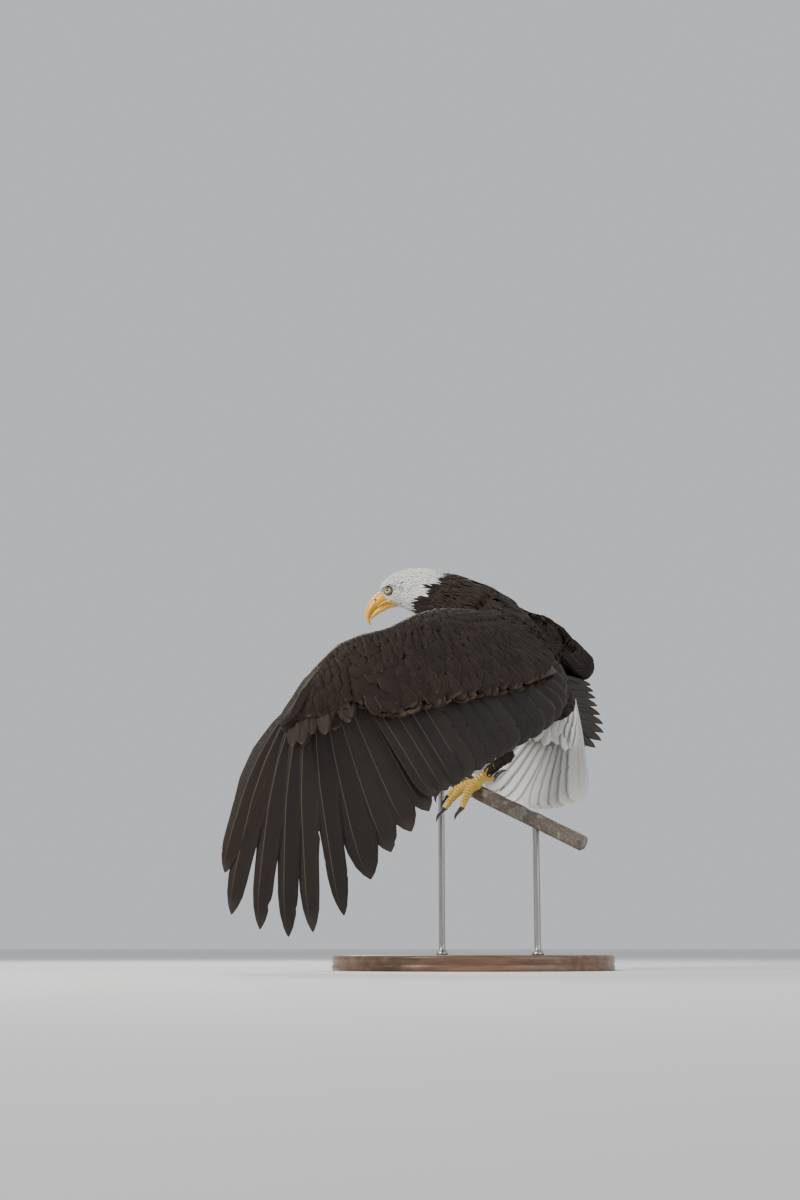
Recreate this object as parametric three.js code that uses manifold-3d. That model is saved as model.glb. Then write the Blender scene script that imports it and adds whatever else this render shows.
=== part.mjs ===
// A life-size bald eagle on a cut branch. The branch is carried by two rods on a flat base.
// Millimetres, +Z up. The bird faces -X and turns a little towards -Y. The origin is the
// middle of the base's underside.
import * as THREE from 'three';
import { mergeVertices } from 'three/addons/utils/BufferGeometryUtils.js';
import Module from 'manifold-3d';

const wasm = await Module();
wasm.setup();

// Cut pieces stand a small gap apart, and the curved vanes of one wing a little more.
const gap = 0.3;
const vaneGap = 1.5;

// ---- driving sizes ----
const base = { length: 520, depth: 400, height: 28, bevel: 5 };
const rod = { radius: 6, leftAt: -96, rightAt: 176 };
const branch = { radius: 14, left: -135, right: 300, sides: 14 };
const rectrices = { count: 12, length: 234, opening: 64 };
const primaryLengths = [303, 377, 405, 424, 427, 414, 371, 345, 333, 323];
const primaryFan = { outerAngle: 20.5, innerAngle: -30.8, innerLean: 45 };
const primarySet = [-4, -11, -4, -4, -14, -11, -5, -6, -6, -8];
const secondaryCount = 14;
const toe = { radius: 8.2, tipRadius: 5.6 };
const eyeRadius = 9.5;
const tarsusRadius = 8.5;

const v = (x, y, z) => new THREE.Vector3(x, y, z);

// ---- directions of the bird's body ----
const bodyYaw = THREE.MathUtils.degToRad(22);
const ahead = v(-Math.cos(bodyYaw), -Math.sin(bodyYaw), 0);

// ---- the perch: a straight cut branch, lower and nearer at its right end ----
const perchPoint = v(2, -14, 330);
const perchAxis = v(0.6, -0.7, -0.37).normalize();
const perchAt = (t) => perchPoint.clone().addScaledVector(perchAxis, t);

// ---- colours ----
const feather = { brown: 0x3a2a1f, flight: 0x2b211b, white: 0xeeeae0 };
const horn = { bill: 0xe3ab2c, talon: 0x1b1a1a, skin: 0xe2b23a };
const stuff = {
  brown: [feather.brown, 0.9, 0],
  flight: [feather.flight, 0.75, 0],
  white: [feather.white, 0.85, 0],
  bill: [horn.bill, 0.35, 0],
  skin: [horn.skin, 0.55, 0],
  talon: [horn.talon, 0.3, 0],
  eye: [0xe9dc9a, 0.1, 0],
  bark: [0x6f6255, 0.95, 0],
  steel: [0x8c8f92, 0.35, 1],
  wood: [0x5a3d28, 0.5, 0],
};

// ---- closed solids ----
function signedVolume(points, faces) {
  let sum = 0;
  for (const [a, b, c] of faces) {
    sum += points[a].dot(points[b].clone().cross(points[c]));
  }
  return sum;
}

function closedGeometry(points, faces) {
  const outward = signedVolume(points, faces) > 0;
  const positions = points.flatMap((p) => [p.x, p.y, p.z]);
  const index = faces.flatMap(([a, b, c]) => (outward ? [a, b, c] : [a, c, b]));
  const geometry = new THREE.BufferGeometry();
  geometry.setAttribute('position', new THREE.Float32BufferAttribute(positions, 3));
  geometry.setIndex(index);
  return geometry;
}

// Rings of equal count become a skin. Each end closes on its own middle point.
function loft(rings) {
  const sides = rings[0].length;
  const points = rings.flat();
  const faces = [];
  for (let i = 0; i + 1 < rings.length; i += 1) {
    for (let j = 0; j < sides; j += 1) {
      const k = (j + 1) % sides;
      const a = i * sides;
      const b = a + sides;
      faces.push([a + j, b + j, a + k], [a + k, b + j, b + k]);
    }
  }
  for (const [ring, turn] of [[0, 1], [rings.length - 1, -1]]) {
    const middle = v(0, 0, 0);
    rings[ring].forEach((p) => middle.add(p));
    points.push(middle.divideScalar(sides));
    for (let j = 0; j < sides; j += 1) {
      const a = ring * sides + j;
      const b = ring * sides + ((j + 1) % sides);
      faces.push(turn > 0 ? [points.length - 1, a, b] : [points.length - 1, b, a]);
    }
  }
  return closedGeometry(points, faces);
}

function toSolid(geometry) {
  const bare = geometry.clone();
  bare.deleteAttribute('normal');
  bare.deleteAttribute('uv');
  const merged = mergeVertices(bare, 1e-4);
  return new wasm.Manifold(new wasm.Mesh({
    numProp: 3,
    vertProperties: new Float32Array(merged.attributes.position.array),
    triVerts: new Uint32Array(merged.index.array),
  }));
}

const join = (solids) => solids.reduce((all, next) => all.add(next));
const carve = (solid, cutters) => cutters.reduce((left, cutter) => left.subtract(cutter), solid);

// The largest connected body of a solid, so that a cut leaves no loose crumbs.
function largestBody(solid) {
  const mesh = solid.getMesh();
  const owner = Array.from({ length: mesh.numVert }, (_, i) => i);
  const rootOf = (i) => {
    let at = i;
    while (owner[at] !== at) {
      owner[at] = owner[owner[at]];
      at = owner[at];
    }
    return at;
  };
  const corners = mesh.triVerts;
  for (let t = 0; t < corners.length; t += 3) {
    owner[rootOf(corners[t])] = rootOf(corners[t + 1]);
    owner[rootOf(corners[t + 2])] = rootOf(corners[t + 1]);
  }
  const count = new Map();
  for (let t = 0; t < corners.length; t += 3) {
    const root = rootOf(corners[t]);
    count.set(root, (count.get(root) ?? 0) + 1);
  }
  const largest = [...count.entries()].sort((a, b) => b[1] - a[1])[0][0];
  const kept = [];
  for (let t = 0; t < corners.length; t += 3) {
    if (rootOf(corners[t]) === largest) kept.push(corners[t], corners[t + 1], corners[t + 2]);
  }
  const positions = [];
  for (let i = 0; i < mesh.numVert; i += 1) {
    const at = i * mesh.numProp;
    positions.push(...mesh.vertProperties.slice(at, at + 3));
  }
  const geometry = new THREE.BufferGeometry();
  geometry.setAttribute('position', new THREE.Float32BufferAttribute(positions, 3));
  geometry.setIndex(kept);
  return geometry;
}

// ---- tubes with a spine: each station is [x, y, z, up, down, side] ----
function stationRings(stations, { sides = 14, steps = stations.length, grow = 0, up = v(0, 0, 1) }) {
  const middles = new THREE.CatmullRomCurve3(stations.map((s) => v(s[0], s[1], s[2])));
  const radii = new THREE.CatmullRomCurve3(stations.map((s) => v(s[3], s[4], s[5])));
  const rings = [];
  for (let i = 0; i < steps; i += 1) {
    const t = i / (steps - 1);
    const at = middles.getPoint(t);
    const along = middles.getTangent(t);
    const across = along.clone().cross(up).normalize();
    const upward = across.clone().cross(along).normalize();
    const size = radii.getPoint(t);
    if (i === 0) at.addScaledVector(along, -grow);
    if (i === steps - 1) at.addScaledVector(along, grow);
    const ring = [];
    for (let j = 0; j < sides; j += 1) {
      const angle = (2 * Math.PI * j) / sides;
      const high = Math.sin(angle) * ((Math.sin(angle) > 0 ? size.x : size.y) + grow);
      const wide = Math.cos(angle) * (size.z + grow);
      ring.push(at.clone().addScaledVector(upward, high).addScaledVector(across, wide));
    }
    rings.push(ring);
  }
  return rings;
}

const tube = (stations, options) => toSolid(loft(stationRings(stations, options)));
const round = (points) => points.map(([x, y, z, r]) => [x, y, z, r, r, r]);

// ---- feather blades: thin cambered plates, four corners round, [along, half width] shapes ----
const blades = {
  finger: [[0, 0.1], [0.15, 0.48], [0.45, 0.56], [0.62, 0.46], [0.9, 0.38], [1, 0.05]],
  broad: [[0, 0.12], [0.25, 0.44], [0.88, 0.48], [0.97, 0.28], [1, 0.08]],
  tail: [[0, 0.16], [0.3, 0.38], [0.86, 0.5], [0.97, 0.32], [1, 0.1]],
};

// A positive twist lifts the edge on the blade's left, seen from its back with the tip down.
function blade({ root, tip, normal, width, shape, bow = 0.03, sweep = 0, twist = 0, grow = 0 }) {
  const along = tip.clone().sub(root);
  const length = along.length();
  along.normalize();
  const across = normal.clone().cross(along).normalize();
  const out = along.clone().cross(across).normalize();
  const flat = across.clone().applyAxisAngle(along, twist);
  const face = out.clone().applyAxisAngle(along, twist);
  const rings = shape.map(([t, half], i) => {
    const arch = 4 * t * (1 - t);
    const at = root.clone().addScaledVector(along, length * t);
    at.addScaledVector(out, bow * length * arch);
    at.addScaledVector(across, sweep * length * arch);
    if (i === 0) at.addScaledVector(along, -grow);
    if (i === shape.length - 1) at.addScaledVector(along, grow);
    const wide = width * half + grow;
    const thick = 0.9 * (1 - 0.4 * t) + grow;
    const corners = [[-1, thick], [1, thick], [1, -thick], [-1, -thick]];
    return corners.map(([w, h]) => at.clone().addScaledVector(flat, w * wide).addScaledVector(face, h));
  });
  return toSolid(loft(rings));
}

// A sheet is a row of feathers that part only at their tips. Its rows run from root to tip.
const tipRows = [[0, 0], [0.3, 1], [0.7, 1]];
const sheetParts = [[0, 1], [0.5, 1], [1, 0.45]];

function sheet({ count, roots, tips, dorsal, notch = 0.04, thick = 2.4, bow = 0, grow = 0 }) {
  const rootCurve = new THREE.CatmullRomCurve3(roots);
  const tipCurve = new THREE.CatmullRomCurve3(tips);
  const rings = [];
  for (let row = 0; row <= count * tipRows.length; row += 1) {
    const [part, reach] = tipRows[row % tipRows.length];
    const u = Math.min((Math.floor(row / tipRows.length) + part) / count, 1);
    const root = rootCurve.getPoint(u);
    const chord = tipCurve.getPoint(u).sub(root);
    const span = tipCurve.getTangent(u);
    const out = span.clone().cross(chord).normalize();
    if (out.dot(dorsal) < 0) out.negate();
    const length = chord.length() * (1 - notch * (1 - reach));
    chord.normalize();
    const end = (row === 0 ? -1 : 0) + (row === count * tipRows.length ? 1 : 0);
    const place = ([along, fill], side) => {
      const at = root.clone().addScaledVector(chord, along * length + (2 * along - 1) * grow);
      const arch = 4 * along * (1 - along) * bow * length;
      at.addScaledVector(out, arch + side * (0.5 * thick * fill + grow));
      return at.addScaledVector(span, end * grow);
    };
    const upper = sheetParts.map((one) => place(one, 1));
    const lower = [...sheetParts].reverse().map((one) => place(one, -1));
    rings.push([...upper, ...lower]);
  }
  return toSolid(loft(rings));
}

// ---- wing slabs: sections run from leading edge to covert tips ----
const chordParts = [
  [0, 0.3, 0], [0.07, 0.78, 0.3], [0.22, 1, 0.75],
  [0.48, 0.8, 1], [0.78, 0.42, 0.6], [1, 0.12, 0],
];

// Each row is [leading edge, trailing edge, thickness, camber].
function slab(rows, dorsal, grow = 0) {
  const rings = rows.map(([front, back, thick, camber], i) => {
    const before = rows[Math.max(i - 1, 0)];
    const after = rows[Math.min(i + 1, rows.length - 1)];
    const span = after[0].clone().add(after[1]).sub(before[0]).sub(before[1]).normalize();
    const chord = back.clone().sub(front);
    const out = chord.clone().cross(span).normalize();
    if (out.dot(dorsal) < 0) out.negate();
    const unit = chord.clone().normalize();
    const place = (part, side) => {
      const [along, fill, rise] = part;
      const at = front.clone().addScaledVector(chord, along);
      at.addScaledVector(out, camber * rise + side * (0.5 * thick * fill + grow));
      if (along === 0) at.addScaledVector(unit, -grow);
      if (along === 1) at.addScaledVector(unit, grow);
      if (i === 0) at.addScaledVector(span, -grow);
      if (i === rows.length - 1) at.addScaledVector(span, grow);
      return at;
    };
    const upper = chordParts.map((part) => place(part, 1));
    const lower = [...chordParts].reverse().map((part) => place(part, -1));
    return [...upper, ...lower];
  });
  return toSolid(loft(rings));
}

// Under coverts: a thin slab on the wing's inner face that holds the roots of a fan together.
function underCoverts(rows, dorsal, { from, to, drop, thick }, grow) {
  const lined = rows.map(([front, back, , camber]) => {
    const low = (part) => front.clone().lerp(back, part).addScaledVector(dorsal, -drop);
    return [low(from), low(to), thick, camber * 0.4];
  });
  return slab(lined, dorsal, grow);
}

// ---- trunk, neck and head share one line of stations ----
const bodyLine = {
  head: [
    [-166, -28, 693, 13, 13, 11],
    [-160, -28, 697, 23, 23, 17],
    [-148, -28, 705, 30, 32, 25],
    [-126, -28, 712, 38, 41, 32],
    [-100, -28, 711, 42, 46, 37],
    [-75, -27, 703, 46, 50, 43],
  ],
  neck: [
    [-74.6, -27, 702.8, 46, 50, 43],
    [-43, -26, 685, 58, 58, 54],
    [-8, -22, 656, 78, 72, 68],
  ],
  trunk: [
    [-7.7, -21.9, 655.7, 78, 72, 68],
    [28, -10, 623, 86, 86, 80],
    [63, 3, 591, 80, 94, 85],
    [100, 17, 557, 70, 88, 80],
    [135, 31, 526, 55, 68, 64],
    [160, 41, 504, 40, 48, 48],
    [182, 50, 485, 24, 28, 34],
  ],
};

const trunk = (grow) => tube(bodyLine.trunk, { sides: 16, steps: 9, grow });
const neck = (grow) => tube(bodyLine.neck, { sides: 16, steps: 5, grow });

// The brow ridge shades the eye from the front corner of the lid to behind it.
const brow = (side) => tube(round([
  [-170, -28 + side * 14, 709, 3],
  [-160, -28 + side * 22, 716, 4.5],
  [-146, -28 + side * 26, 719, 3],
]), { sides: 6 });

function head(grow) {
  const skull = tube(bodyLine.head, { sides: 14, steps: 7, grow });
  return join([skull, brow(-1), brow(1)]);
}

const eyeMiddle = (side) => v(-156.5, -28 + side * 15.5, 706);

function eye(side, grow) {
  const ball = new THREE.SphereGeometry(eyeRadius + grow, 12, 8);
  ball.translate(...eyeMiddle(side));
  return toSolid(ball);
}

// ---- bill: each row is a top point and a bottom point on the middle plane, and a half width ----
const billMiddle = -28;
const upperBill = [
  [-158, 705, -150, 686, 11],
  [-172, 706.5, -160, 684, 12],
  [-183, 699, -171, 679, 11],
  [-193, 687.5, -180, 673, 9.5],
  [-200, 673, -187, 665, 8],
  [-201.5, 660, -191.5, 656, 6],
  [-198, 649, -191.5, 649, 4],
  [-190.5, 638.5, -189.5, 638, 1],
];
const lowerBill = [
  [-150, 684, -146, 676, 8],
  [-160, 682, -156, 673.5, 9],
  [-172, 677, -168, 667.5, 8],
  [-183, 670, -179, 660.5, 6.5],
  [-189, 661, -187.5, 654.5, 4.5],
  [-191, 656.5, -190, 653, 2],
];

function bill(rows, grow) {
  const rings = rows.map(([topX, topZ, lowX, lowZ, half]) => {
    const top = v(topX, billMiddle, topZ);
    const low = v(lowX, billMiddle, lowZ);
    const middle = top.clone().add(low).multiplyScalar(0.5);
    const rise = top.clone().sub(middle);
    const tall = rise.length();
    rise.normalize();
    return Array.from({ length: 12 }, (_, j) => {
      const angle = (2 * Math.PI * j) / 12;
      const at = middle.clone().addScaledVector(rise, Math.sin(angle) * (tall + grow));
      at.y += Math.cos(angle) * (half + grow);
      return at;
    });
  });
  return toSolid(loft(rings));
}

// ---- left wing: half open and hanging like a curtain in front of the body ----
const leftDorsal = v(-0.1, -0.95, 0.3);
const leftArmRows = [
  [v(62, -2, 648), v(140, 18, 562), 44, 4],
  [v(45, -40, 672), v(161, -34, 558), 52, 6],
  [v(2, -98, 640), v(160, -104, 534), 56, 10],
  [v(-36, -143, 641), v(114, -176, 507), 44, 12],
  [v(-82, -193, 636), v(41, -240, 486), 38, 12],
  [v(-118, -234, 621), v(-30, -278, 467), 34, 12],
  [v(-162, -275, 592), v(-88, -292, 455), 32, 10],
  [v(-208, -294, 578), v(-142, -299, 440), 30, 8],
  [v(-240, -299, 563), v(-200, -304, 452), 27, 6],
];
const leftHandRows = [
  [v(-239, -299, 563), v(-196, -305, 455), 26, 5],
  [v(-257, -301, 546), v(-222, -309, 450), 24, 5],
  [v(-287, -303, 514), v(-258, -311, 437), 20, 4],
  [v(-319, -304, 471), v(-298, -311, 424), 14, 3],
  [v(-338, -305, 428), v(-326, -309, 413), 8, 1],
  [v(-341, -305, 413), v(-337, -307, 408), 4, 0],
];
const leftArm = (grow) => slab(leftArmRows, leftDorsal, grow);
const leftHand = (grow) => slab(leftHandRows, leftDorsal, grow);

const featherTwist = THREE.MathUtils.degToRad(10);

function leftPrimaries(grow) {
  const outer = v(-321, -293, 449);
  const inner = v(-240, -288, 545);
  const last = primaryLengths.length - 1;
  const solids = primaryLengths.map((length, i) => {
    const t = i / last;
    const turn = THREE.MathUtils.lerp(primaryFan.outerAngle, primaryFan.innerAngle, t);
    const angle = THREE.MathUtils.degToRad(turn);
    const root = outer.clone().lerp(inner, t);
    const lean = primaryFan.innerLean * t;
    const drop = Math.sqrt(length * length - lean * lean);
    const tip = root.clone().add(v(primarySet[i] - Math.sin(angle) * drop, lean, -Math.cos(angle) * drop));
    const shape = i < 6 ? blades.finger : blades.broad;
    const width = i < 6 ? 50 : 60;
    const sweep = -0.035 * (1 - t);
    const bend = { bow: 0.02, sweep, twist: featherTwist };
    return blade({ root, tip, normal: leftDorsal, width, shape, ...bend, grow });
  });
  const lie = { from: 0.3, to: 1.35, drop: 11, thick: 12 };
  const coverts = underCoverts(leftHandRows.slice(0, 5), leftDorsal, lie, grow);
  return join([...solids, coverts]);
}

const leftSecondaries = (grow) => sheet({
  count: secondaryCount,
  roots: [v(-238, -288, 535), v(-120, -268, 520), v(-26, -232, 522), v(32, -182, 547), v(78, -112, 585)],
  tips: [
    v(-82, -266, 292), v(-31, -255, 320), v(19, -228, 354), v(69, -190, 387),
    v(136, -130, 434), v(173, -90, 485), v(166, -66, 548),
  ],
  dorsal: leftDorsal,
  notch: 0.05,
  bow: 0.04,
  grow,
});

// ---- right wing: loosely folded, held out from the far side of the back ----
const rightDorsal = v(-0.2, 0.52, 0.83).normalize();
const rightWrist = v(-50, 145, 622);

// A point of the right wing by its plan place and its height over the wing's plane.
function onRight(x, y, height) {
  const aside = v(x, y, rightWrist.z).sub(rightWrist).dot(rightDorsal);
  return v(x, y, rightWrist.z + (height - aside) / rightDorsal.z);
}

const rightArmRows = [
  [v(-22, 58, 654), onRight(-62, 122, 4), 26, 4],
  [v(40, 66, 688), onRight(-30, 172, 6), 40, 14],
  [v(96, 84, 692), onRight(40, 222, 7), 38, 18],
  [v(150, 118, 680), onRight(108, 268, 8), 28, 14],
  [v(204, 188, 652), onRight(176, 312, 6), 10, 4],
];
const rightHandRows = [
  [onRight(-68, 136, -10), onRight(-20, 152, -10), 20, 2],
  [onRight(-16, 196, -10), onRight(56, 196, -10), 17, 2],
  [onRight(46, 250, -10), onRight(104, 244, -10), 12, 1],
  [onRight(122, 322, -10), onRight(134, 312, -10), 4, 0],
];
const rightArm = (grow) => slab(rightArmRows, rightDorsal, grow);
const rightHand = (grow) => slab(rightHandRows, rightDorsal, grow);

const rightPrimaries = (grow) => sheet({
  count: 8,
  roots: [onRight(48, 244, -14), onRight(0, 205, -16), onRight(-40, 165, -18), onRight(-46, 150, -20)],
  tips: [
    onRight(232, 470, 2), onRight(284, 518, 0), onRight(306, 492, -3), onRight(303, 440, -9),
    onRight(286, 380, -16), onRight(264, 330, -23), onRight(226, 284, -26),
  ],
  dorsal: rightDorsal,
  notch: 0.06,
  bow: 0.02,
  grow,
});

const rightSecondaries = (grow) => sheet({
  count: 6,
  roots: [onRight(-30, 156, 8), onRight(60, 168, 8), onRight(150, 180, 8), onRight(178, 178, 8)],
  tips: [
    onRight(196, 308, 4), onRight(228, 306, 0), onRight(250, 296, -10),
    onRight(256, 276, -20), onRight(250, 244, -22),
  ],
  dorsal: rightDorsal,
  bow: 0.05,
  grow,
});

// ---- tail: twelve feathers, fanned wide and pressed down under the body ----
const tailRoot = v(181, 53, 516);
const tailDown = v(-0.411, -0.212, -0.887).normalize();
const tailAcross = v(-0.842, 0.461, 0.28).normalize();

function tail(grow) {
  const half = THREE.MathUtils.degToRad(rectrices.opening / 2);
  const normal = tailAcross.clone().cross(tailDown).normalize();
  if (normal.x < 0) normal.negate();
  const places = [-1, -0.67, -0.33, 0, 0.33, 0.67, 1];
  const line = (place) => places.map((across) => place(across, 1 - across * across));
  const roots = line((across, inward) => tailRoot.clone()
    .addScaledVector(tailAcross, 22 * across)
    .addScaledVector(normal, 9 * inward));
  const tips = line((across, inward) => tailRoot.clone()
    .addScaledVector(tailDown, rectrices.length * Math.cos(half * across) * (0.97 + 0.03 * inward))
    .addScaledVector(tailAcross, rectrices.length * Math.sin(half * across))
    .addScaledVector(normal, 16 * inward));
  const { count } = rectrices;
  const vanes = sheet({ count, roots, tips, dorsal: normal, notch: 0.035, bow: 0.02, grow });
  const coverts = tube([
    [184, 53, 506, 19, 20, 26],
    [168, 44, 462, 14, 15, 34],
    [148, 34, 412, 4, 5, 42],
  ], { sides: 12, grow, up: normal });
  return join([vanes, coverts]);
}

// ---- legs: feathered thighs, bare shanks, four toes and four talons each ----
// Each toe is [spread along the branch, reach, talon length]. The roll turns the grip forward.
const legs = {
  left: {
    foot: 18,
    roll: 50,
    toes: [[-30, 42, 28], [-13, 68, 31], [20, 52, 27], [6, 34, 36]],
    line: [[0, 0.1], [0.4, 0.15], [0.78, 0.1], [1, 0.02]],
    hook: [[-0.04, 0, 4.8], [0.34, 0.04, 4], [0.74, -0.04, 2.6], [0.98, -0.26, 0.6]],
    ankle: v(62, -62, 388),
    thigh: [[92, -34, 560, 60, 60, 50], [48, -66, 512, 54, 52, 44], [36, -76, 462, 40, 38, 34],
      [50, -68, 418, 22, 22, 20], [60, -63, 394, 12, 12, 12]],
  },
  right: {
    foot: -48,
    roll: 14,
    toes: [[14, 48, 28], [0, 60, 31], [-18, 50, 26], [-5, 34, 36]],
    line: [[0, 0.1], [0.4, 0.12], [0.78, -0.12], [1, -0.44]],
    hook: [[-0.04, 0, 4.8], [0.36, -0.24, 4], [0.52, -0.6, 2.6], [0.4, -0.96, 0.6]],
    ankle: v(6, 36, 410),
    thigh: [[66, 62, 560, 58, 58, 50], [4, 70, 512, 54, 54, 46], [-28, 66, 458, 44, 44, 38],
      [-40, 56, 402, 30, 30, 28], [-42, 46, 372, 17, 17, 17]],
  },
};

const perchUp = v(0, 0, 1).addScaledVector(perchAxis, -perchAxis.z).normalize();
const perchAhead = perchUp.clone().cross(perchAxis).normalize();
if (perchAhead.dot(ahead) < 0) perchAhead.negate();

// The grip of one foot: its middle on the branch, the way out from the branch and the way ahead.
function grip(leg) {
  const roll = THREE.MathUtils.degToRad(leg.roll);
  const [c, s] = [Math.cos(roll), Math.sin(roll)];
  const out = perchUp.clone().multiplyScalar(c).addScaledVector(perchAhead, s);
  const fore = perchAhead.clone().multiplyScalar(c).addScaledVector(perchUp, -s);
  return { out, fore, at: (height) => perchAt(leg.foot).addScaledVector(out, branch.radius + height) };
}

// The last toe of each foot points back and curls tight over the branch.
const backLine = [[0, 0.1], [0.4, 0.08], [0.78, -0.2], [1, -0.56]];

function toeFrame(leg, index) {
  const [spread, reach] = leg.toes[index];
  const back = index === leg.toes.length - 1;
  const { out, fore, at } = grip(leg);
  const way = back ? fore.negate() : fore;
  const place = (f, u) => at(toe.radius)
    .addScaledVector(way, f * reach)
    .addScaledVector(out, u * reach)
    .addScaledVector(perchAxis, spread * (0.25 + 0.75 * Math.min(f, 1)));
  return { place, line: back ? backLine : leg.line };
}

function toeTube(leg, index, grow) {
  const { place, line } = toeFrame(leg, index);
  const stations = line.map(([f, u], i) => {
    const at = place(f, u);
    const r = THREE.MathUtils.lerp(toe.radius, toe.tipRadius, i / (line.length - 1));
    return [at.x, at.y, at.z, r, r, r];
  });
  return tube(stations, { sides: 6, steps: 4, grow, up: perchUp.clone().add(perchAxis) });
}

function foot(leg, grow) {
  const pad = new THREE.SphereGeometry(13 + grow, 8, 6);
  pad.scale(1.15, 1.15, 0.9);
  pad.translate(...grip(leg).at(7));
  return join([toSolid(pad), ...leg.toes.map((_, index) => toeTube(leg, index, grow))]);
}

// A talon starts inside its toe's end. Its hook is [onward, outward, radius] in parts of its length.
function talon(leg, index) {
  const { place, line } = toeFrame(leg, index);
  const [, reach, length] = leg.toes[index];
  const [lastF, lastU] = line[line.length - 1];
  const bend = length / reach;
  const stations = leg.hook.map(([onward, outward, r]) => {
    const at = place(lastF + onward * bend, lastU + outward * bend);
    return [at.x, at.y, at.z, r, r, r];
  });
  return tube(stations, { sides: 6, steps: 5, up: perchAxis });
}

function shank(leg, grow) {
  const low = grip(leg).at(10);
  const line = [0, 0.25, 0.8, 1, 1.16].map((t, i) => {
    const at = low.clone().lerp(leg.ankle, t);
    const r = [tarsusRadius + 2, tarsusRadius - 0.5, tarsusRadius, tarsusRadius + 2.5, tarsusRadius][i];
    return [at.x, at.y, at.z, r, r, r];
  });
  return tube(line, { sides: 9, steps: 5, grow, up: ahead });
}

const thigh = (leg, grow) => tube(leg.thigh, { sides: 12, steps: 7, grow, up: ahead });

// ---- perch and stand ----
function perch(grow) {
  const wobble = [0.6, -0.5, 0.3, -0.7, 0.5, -0.2, 0.4];
  const stations = wobble.map((swell, i) => {
    const at = perchAt(THREE.MathUtils.lerp(branch.left, branch.right, i / (wobble.length - 1)));
    const r = branch.radius + swell;
    return [at.x, at.y, at.z, r, r, r];
  });
  return tube(stations, { sides: branch.sides, steps: 10, grow, up: perchUp });
}

function standBase() {
  const outline = new THREE.Shape();
  outline.absellipse(0, 0, base.length / 2 - base.bevel, base.depth / 2 - base.bevel, 0, 2 * Math.PI);
  const plate = new THREE.ExtrudeGeometry(outline, {
    depth: base.height - 2 * base.bevel,
    bevelThickness: base.bevel,
    bevelSize: base.bevel,
    bevelSegments: 1,
    curveSegments: 14,
  });
  plate.translate(0, 0, base.bevel);
  return toSolid(plate);
}

function standRod(t) {
  const top = perchAt(t);
  const height = top.z - base.height - gap;
  const pin = new THREE.CylinderGeometry(rod.radius, rod.radius, height, 16);
  pin.rotateX(Math.PI / 2);
  pin.translate(top.x, top.y, base.height + gap + height / 2);
  return carve(toSolid(pin), [perch(gap)]);
}

// ---- every piece, cut clear of its neighbours ----
const group = new THREE.Group();

function add(name, solid, kind) {
  const [color, roughness, metalness] = stuff[kind];
  const geometry = largestBody(solid);
  geometry.computeVertexNormals();
  const mesh = new THREE.Mesh(geometry, new THREE.MeshStandardMaterial({ color, roughness, metalness }));
  mesh.name = name;
  group.add(mesh);
}

add('stand_base', standBase(), 'wood');
add('stand_rod_left', standRod(rod.leftAt), 'steel');
add('stand_rod_right', standRod(rod.rightAt), 'steel');
add('perch_branch', perch(0), 'bark');

const flesh = { trunk: trunk(gap), neck: neck(gap), head: head(gap) };
const body = [flesh.trunk, flesh.neck, flesh.head];
add('trunk', trunk(0), 'brown');
add('neck', carve(neck(0), [flesh.trunk]), 'brown');
add('head', carve(head(0), [flesh.neck, eye(-1, gap), eye(1, gap)]), 'white');
add('eye_left', eye(-1, 0), 'eye');
add('eye_right', eye(1, 0), 'eye');
add('bill_upper', carve(bill(upperBill, 0), [flesh.head, eye(-1, gap), eye(1, gap)]), 'bill');
add('bill_lower', carve(bill(lowerBill, 0), [flesh.head, bill(upperBill, gap)]), 'bill');

add('wing_left_arm', carve(leftArm(0), body), 'brown');
add('wing_left_hand', carve(leftHand(0), [...body, leftArm(gap)]), 'brown');
add('wing_left_primaries', carve(leftPrimaries(0), [leftArm(gap), leftHand(gap)]), 'flight');
add('wing_left_secondaries',
  carve(leftSecondaries(0), [...body, leftArm(gap), leftHand(gap), leftPrimaries(vaneGap)]), 'flight');

add('wing_right_arm', carve(rightArm(0), body), 'brown');
add('wing_right_hand', carve(rightHand(0), [...body, rightArm(gap)]), 'brown');
add('wing_right_secondaries',
  carve(rightSecondaries(0), [...body, rightArm(gap), rightHand(gap)]), 'flight');
add('wing_right_primaries',
  carve(rightPrimaries(0), [...body, rightArm(gap), rightHand(gap), rightSecondaries(gap)]), 'flight');

add('tail', carve(tail(0), [flesh.trunk, leftSecondaries(gap), rightPrimaries(gap)]), 'white');

for (const [side, leg] of Object.entries(legs)) {
  const perchCut = perch(gap);
  const footCut = foot(leg, gap);
  const wings = [leftArm(gap), leftSecondaries(gap), rightArm(gap), rightHand(gap)];
  add(`leg_${side}_thigh`,
    carve(thigh(leg, 0), [flesh.trunk, perchCut, ...wings, tail(gap), footCut]), 'brown');
  add(`leg_${side}_shank`,
    carve(shank(leg, 0), [flesh.trunk, thigh(leg, gap), footCut, perchCut]), 'skin');
  add(`leg_${side}_foot`, carve(foot(leg, 0), [perchCut]), 'skin');
  leg.toes.forEach((_, i) => {
    add(`talon_${side}_${i + 1}`, carve(talon(leg, i), [footCut, perchCut]), 'talon');
  });
}

export default group;
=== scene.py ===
import math
from itertools import product
import bpy
import numpy as np
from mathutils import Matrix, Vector
from mathutils.bvhtree import BVHTree


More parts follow.
